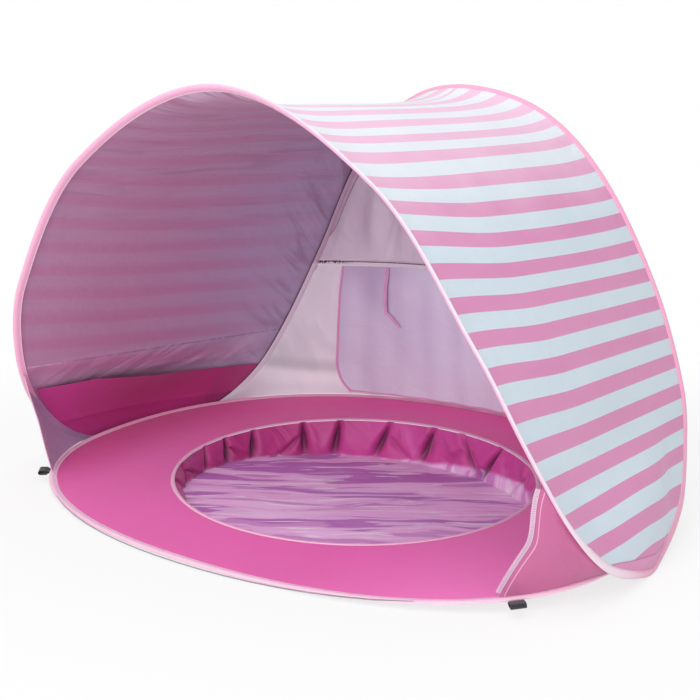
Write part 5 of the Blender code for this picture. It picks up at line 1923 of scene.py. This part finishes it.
flap = flap_grid("flap_panel", FLAP_COLUMNS, FLAP_ROWS, across_flap(0.0), FLAP_BOTTOM, FLAP_TOP,
                 CLOTH, flap_finish())
flap_left = flap_grid("flap_trim_left", TRIM_COLUMNS, TRIM_ROWS, beside_flap(-1), FLAP_BOTTOM, FLAP_TOP,
                      TRIM_THICKNESS, FLAP_TRIM)
flap_right = flap_grid("flap_trim_right", TRIM_COLUMNS, TRIM_ROWS, beside_flap(1), FLAP_BOTTOM, FLAP_TOP,
                       TRIM_THICKNESS, FLAP_TRIM)
flap_foot = flap_grid("flap_trim_bottom", FLAP_COLUMNS, FOOT_ROWS, across_flap(TRIM_REACH),
                      FLAP_BOTTOM - FOOT_TRIM, FLAP_BOTTOM - GAP, TRIM_THICKNESS, FLAP_TRIM)
for piece, node in ((flap, "window_flap"), (flap_left, "flap_binding_left"),
                    (flap_right, "flap_binding_right"), (flap_foot, "flap_binding_bottom")):
    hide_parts(node)

# %% The ribbons
TIE_FROM_SIDE = 0.107
TIE_LONG = 0.130
TIE_SHORT = 0.094
TIE_TURNS_AT = 0.086
TIE_TURN = 46
TIE_JOINS_AT = 0.045
TIE_APART = 0.0050
TIE_WIDTH = 0.007
TIE_THICKNESS = 0.0008
TIE_HALF_WIDTH = (0.38, 0.44)
TIE_JOINS_OVER = 0.03
TIE_JOINS_BY = 0.8
TIE_STRAYS = 0.0012
TIE_COLUMNS = 4
TIE_ROWS = 60


def ribbon(name, side):
    """Two tails that hang together in front of the flap; the longer one turns aside at its end."""
    middle = side * (FLAP_HALF_WIDTH - TIE_FROM_SIDE)
    tails = []
    for order, length in ((0, TIE_LONG), (1, TIE_SHORT)):
        def place(u, v):
            drop = length * v
            turned = max(0.0, drop - TIE_TURNS_AT) if order == 0 else 0.0
            aside = turned * math.sin(math.radians(TIE_TURN))
            down = drop - turned * (1 - math.cos(math.radians(TIE_TURN)))
            joined = smoothstep((drop - TIE_JOINS_AT) / TIE_JOINS_OVER)
            apart = TIE_APART * (1 - TIE_JOINS_BY * joined)
            centre = middle + aside + (order - 0.5) * apart + TIE_STRAYS * math.sin(8.0 * v + order)
            lean = aside / (turned + 0.0001) if turned else 0.0
            narrow, broad = TIE_HALF_WIDTH
            from_middle = (2 * u - 1) * TIE_WIDTH * (narrow + (broad - narrow) * v)
            x = centre + from_middle * math.sqrt(1 - lean * lean)
            z = FLAP_TOP - down + from_middle * lean
            stand = FLAP_FOLD_DEPTH * min(1.0, drop / FLAP_FOLD_EASE)
            stand += CLOTH / 2 + TIE_THICKNESS / 2 + 2 * GAP + order * (TIE_THICKNESS + GAP)
            stand += TIE_STRAYS * abs(math.sin(9.0 * v + order)) * v
            height = flap_height(x, z, min(1.0, down / (FLAP_TOP - FLAP_BOTTOM)))
            y = wall_y(x, height) - flap_distance(min(z, FLAP_TOP)) - stand
            return Vector((x, y, height)), (u * TIE_WIDTH, drop)
        tails.append(grid(f"{name}_{'a' if order else 'b'}", TIE_COLUMNS, TIE_ROWS, place))
    pick(tails[0])
    tails[1].select_set(True)
    bpy.ops.object.join()
    tie = bpy.context.active_object
    tie.name = name
    weld(tie)
    return finish_cloth(tie, TIE_THICKNESS, [RIBBON])


tie_right = ribbon("ribbon_right", 1)
tie_left = ribbon("ribbon_left", -1)
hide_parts("flap_tie_right")
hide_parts("flap_tie_left")

# %% [markdown]
# ## Peg loops
# Four short loops of dark webbing are sewn under the floor hoop's binding, two at the front
# corners and two at the back, for pegs.

# %% Webbing finish
def webbing_finish():
    """Nearly black ribbed webbing."""
    finish = Finish("dark_webbing_weave", roughness=0.75, sheen=0.3)
    across, along = finish.cloth()
    ribs = (along * 3600).wave() * 0.5 + (across * 2800).wave() * 0.3
    colour = finish.mix(ribs.rise(-0.4, 0.8), (0.018, 0.018, 0.024), (0.050, 0.050, 0.060))
    return finish.paint(colour, ribs, 0.0005)


WEBBING = webbing_finish()
PEG_STRAP = 0.0008
PEG_WIDTH = 0.022
PEG_OPENING = 0.0066
PEG_LENGTH = 0.021
PEG_PART = 0.0020
PEG_THROAT = 0.0070
PEG_HEIGHT = PEG_OPENING + 2 * PEG_STRAP
PEG_REAR_X = 0.200
PEG_FRONT_Y = GUSSET_FRONT_Y + 0.010
PEG_SEAM_ANGLE = 20
PEG_SEAM_GAP = 0.00005
PEG_PART_GAP = 0.0002
THROAT_STEPS = 6
BEND_STEPS = 10
FLOOR_STEPS = 64
PEG_COLUMNS = 8


def loop_line():
    """The strap's middle line in the loop's own plane, out along it and back."""
    radius = (PEG_HEIGHT - PEG_STRAP) / 2
    centre = PEG_LENGTH - PEG_HEIGHT / 2
    closed = PEG_STRAP / 2 + PEG_PART_GAP
    points = [(PEG_PART / 2, -PEG_STRAP / 2 - PEG_SEAM_GAP)]
    for k in range(THROAT_STEPS):
        share = k / THROAT_STEPS
        points.append((PEG_PART + (PEG_THROAT - PEG_PART) * share,
                       -closed - (radius - closed) * smoothstep(share)))
    straight = list(points)
    for k in range(BEND_STEPS + 1):
        angle = math.pi * (k / BEND_STEPS - 0.5)
        points.append((centre + radius * math.cos(angle), radius * math.sin(angle)))
    return points + [(a, -b) for a, b in reversed(straight)]


def peg_loop(name, rear, turn):
    """The front loops stand out level over the ground, and the rear ones hang down."""
    if rear:
        place = FLOOR.find(PEG_REAR_X, 0, FLOOR.length - FLOOR_QUARTER, FLOOR.length)
    else:
        place = floor_place_right(PEG_FRONT_Y, True)
    step = FLOOR.length / FLOOR_STEPS
    centre, across, up = floor_station(round(place / step) * step)
    flat = math.cos(math.radians(PEG_SEAM_ANGLE))
    deep = math.sin(math.radians(PEG_SEAM_ANGLE))
    away = Vector((flat / BINDING_WIDTH, -deep / BINDING_THICKNESS)).normalized() * (PEG_STRAP + GAP)
    seam = centre - across * (flat * BINDING_WIDTH / 2 + away.x)
    seam += up * (-deep * BINDING_THICKNESS / 2 + away.y)
    outward = Vector((-across.x, -across.y, 0.0)).normalized()
    upward = outward.cross(across.cross(up)).normalized()
    if upward.z < 0:
        upward = -upward
    along, thick = (-upward, outward) if rear else (outward, upward)
    sideways = along.cross(thick).normalized()
    line = loop_line()
    runs = [0.0]
    for a, b in zip(line, line[1:]):
        runs.append(runs[-1] + math.dist(a, b))

    def spot(u, v):
        k = round(v * (len(line) - 1))
        a, b = line[k]
        point = seam + sideways * (PEG_WIDTH * (u - 0.5)) + along * a + thick * b
        return turn(point), (PEG_WIDTH * u, runs[k])

    loop = grid(name, PEG_COLUMNS, len(line) - 1, spot)
    return finish_cloth(loop, PEG_STRAP, [WEBBING])


loops = {}
for word, turn in SIDES.items():
    for end, rear in (("front", False), ("rear", True)):
        loop = peg_loop(f"webbing_loop_{end}_{word}", rear, turn)
        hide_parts(f"peg_loop_{end}_{word}")
        loops[f"{end}_{word}"] = loop

# %% [markdown]
# ## The steel wires
# The wires and ferrules run inside the bindings, but for one stretch: along the front, the floor
# hoop's wire lies outside its binding by up to 10 mm. They are drawn spring steel with a fine
# grain. The floor hoop's wire and both ferrules come with the frame, and the canopy hoop's wire is
# swept here as one ring.

# %% Steel finish
def steel_finish():
    finish = Finish("spring_steel", roughness=0.32, sheen=0.0, specular=0.5, metallic=1.0)
    lines = finish.cloud(finish.solid(), 400.0, 2.0)
    colour = finish.mix(lines, (0.46, 0.46, 0.48), (0.62, 0.62, 0.64))
    return finish.paint(colour, lines, 0.0002)


STEEL = steel_finish()
for name in ("canopy_hoop_ferrule", "floor_hoop_wire", "floor_hoop_ferrule"):
    dress(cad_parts[name], [STEEL])

# %% The canopy hoop's wire
WIRE_RADIUS_MM = 1.1
WIRE_SIDES = 10
WIRE_STEP = 0.012
wire_angles = [2 * math.pi * k / WIRE_SIDES for k in range(WIRE_SIDES)]
WIRE_SECTION = [(WIRE_RADIUS_MM * math.cos(angle), WIRE_RADIUS_MM * math.sin(angle)) for angle in wire_angles]
canopy_wire = tube("canopy_hoop_wire", hoop_stations(WIRE_STEP, canopy_station), WIRE_SECTION, STEEL)
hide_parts("front_arch_wire", "rear_arch_wire_left", "rear_arch_wire_right")

# %% [markdown]
# ## Which body each piece moves with
# The front arch folds back, the flap lifts and the peg loops turn. The hoop's wire bends a little
# below the gussets' tops, and all the cloth that is sewn to it there bends along with it, so the
# hoop, its binding, the canopy, the gussets and the pockets blend over the same short stretch.
# The flap, its side trims and its ribbons bend just under the edge that is sewn to the wall.

# %% Rides
BLEND_SLOPE = 30
BLEND_FROM = 0.220
BLEND_TO = 0.333
blend_way = Vector((0.0, -math.cos(math.radians(BLEND_SLOPE)), math.sin(math.radians(BLEND_SLOPE))))
flap_still = Vector((0.0, 0.0, FLAP_TOP + 0.004))
flap_free = Vector((0.0, 0.0, FLAP_TOP - 0.016))
bending = (canopy, canopy_binding, canopy_wire, *pockets["right"], *pockets["left"], *gussets[0], *gussets[1])
still = (floor_binding, floor_panel, pool_edge, pool_wall, pool_bottom, upper_wall, lower_wall, wall_seam,
         window_net, facing)
for piece in bending:
    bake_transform(piece, "tent", "front_arch", start=blend_way * BLEND_FROM, end=blend_way * BLEND_TO)
for piece in still:
    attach(piece, "tent")
for piece in (flap, flap_left, flap_right, tie_right, tie_left):
    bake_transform(piece, "tent", "flap", start=flap_still, end=flap_free)
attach(flap_foot, "flap")
for word in ("left", "right"):
    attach(loops[f"front_{word}"], f"front_{word}_loop")
    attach(loops[f"rear_{word}"], f"rear_{word}_loop")

# %% [markdown]
# ## The cloth's flat sizes
# Each panel's flat size is printed: the rectangle that it was cut from and its own area. The width
# and the length are the longest lines of its grid, which were measured as it was laid, with a margin
# for seams, and the area is half of both faces of the finished piece. The floor ring and the
# pool's bottom take the outer sizes of their ovals.

# %% Sheets
SEAM_ALLOWANCE = 0.010
STEPS_PER_METRE = 200
POCKET_TAPER = 1.3
TRIANGLE_TAPER = 2.0


def rounded(metres):
    """Up to the next 5 mm."""
    return math.ceil(metres * STEPS_PER_METRE) / STEPS_PER_METRE


def declare(piece, flat=None, taper=None):
    """A piece that tapers has its height worked out from its area: taper is rectangle over piece."""
    area = sum(face.area for face in piece.data.polygons) / 2
    if flat is None:
        wide, high = flat_sizes[piece.name]
        if taper:
            high = taper * area / wide
        flat = (wide + SEAM_ALLOWANCE, high + SEAM_ALLOWANCE)
    flat = tuple(rounded(side) for side in flat)
    print(piece.name, "flat", flat, "area", round(area, 4), "share", round(area / flat[0] / flat[1], 2))


declare(canopy)
declare(floor_panel,
        flat=(2 * FLOOR_HALF_WIDTH, FLOOR_FRONT_REACH + FLOOR_REAR_REACH))
declare(pool_wall)
declare(pool_bottom, flat=(2 * POOL_HALF_WIDTH, 2 * POOL_HALF_DEPTH))
for body, hem in pockets.values():
    declare(body, taper=POCKET_TAPER)
for panel, tape in gussets:
    declare(panel, taper=TRIANGLE_TAPER)
declare(upper_wall)
declare(lower_wall)
declare(window_net)
declare(flap)

# %% [markdown]
# ## Material slots
# The frame's record names one finish for each kind of cloth. Each piece says which it takes.

# %% Slots
SLOTS = {
    "striped_canopy": [canopy],
    "light_pink_binding": [canopy_binding, floor_binding, pool_edge, *(tape for panel, tape in gussets)],
    "deep_pink_cloth": [floor_panel, *pockets["right"], *pockets["left"]],
    "pool_cloth": [pool_wall],
    "pool_floor_print": [pool_bottom],
    "mid_pink_cloth": [panel for panel, tape in gussets],
    "lilac_wall": [upper_wall, lower_wall, wall_seam, facing],
    "grey_net": [window_net],
    "lilac_flap": [flap],
    "pink_ribbon": [flap_left, flap_right, flap_foot, tie_left, tie_right],
    "dark_webbing": list(loops.values()),
    "spring_steel": [canopy_wire],
}
for slot, pieces in SLOTS.items():
    for piece in pieces:
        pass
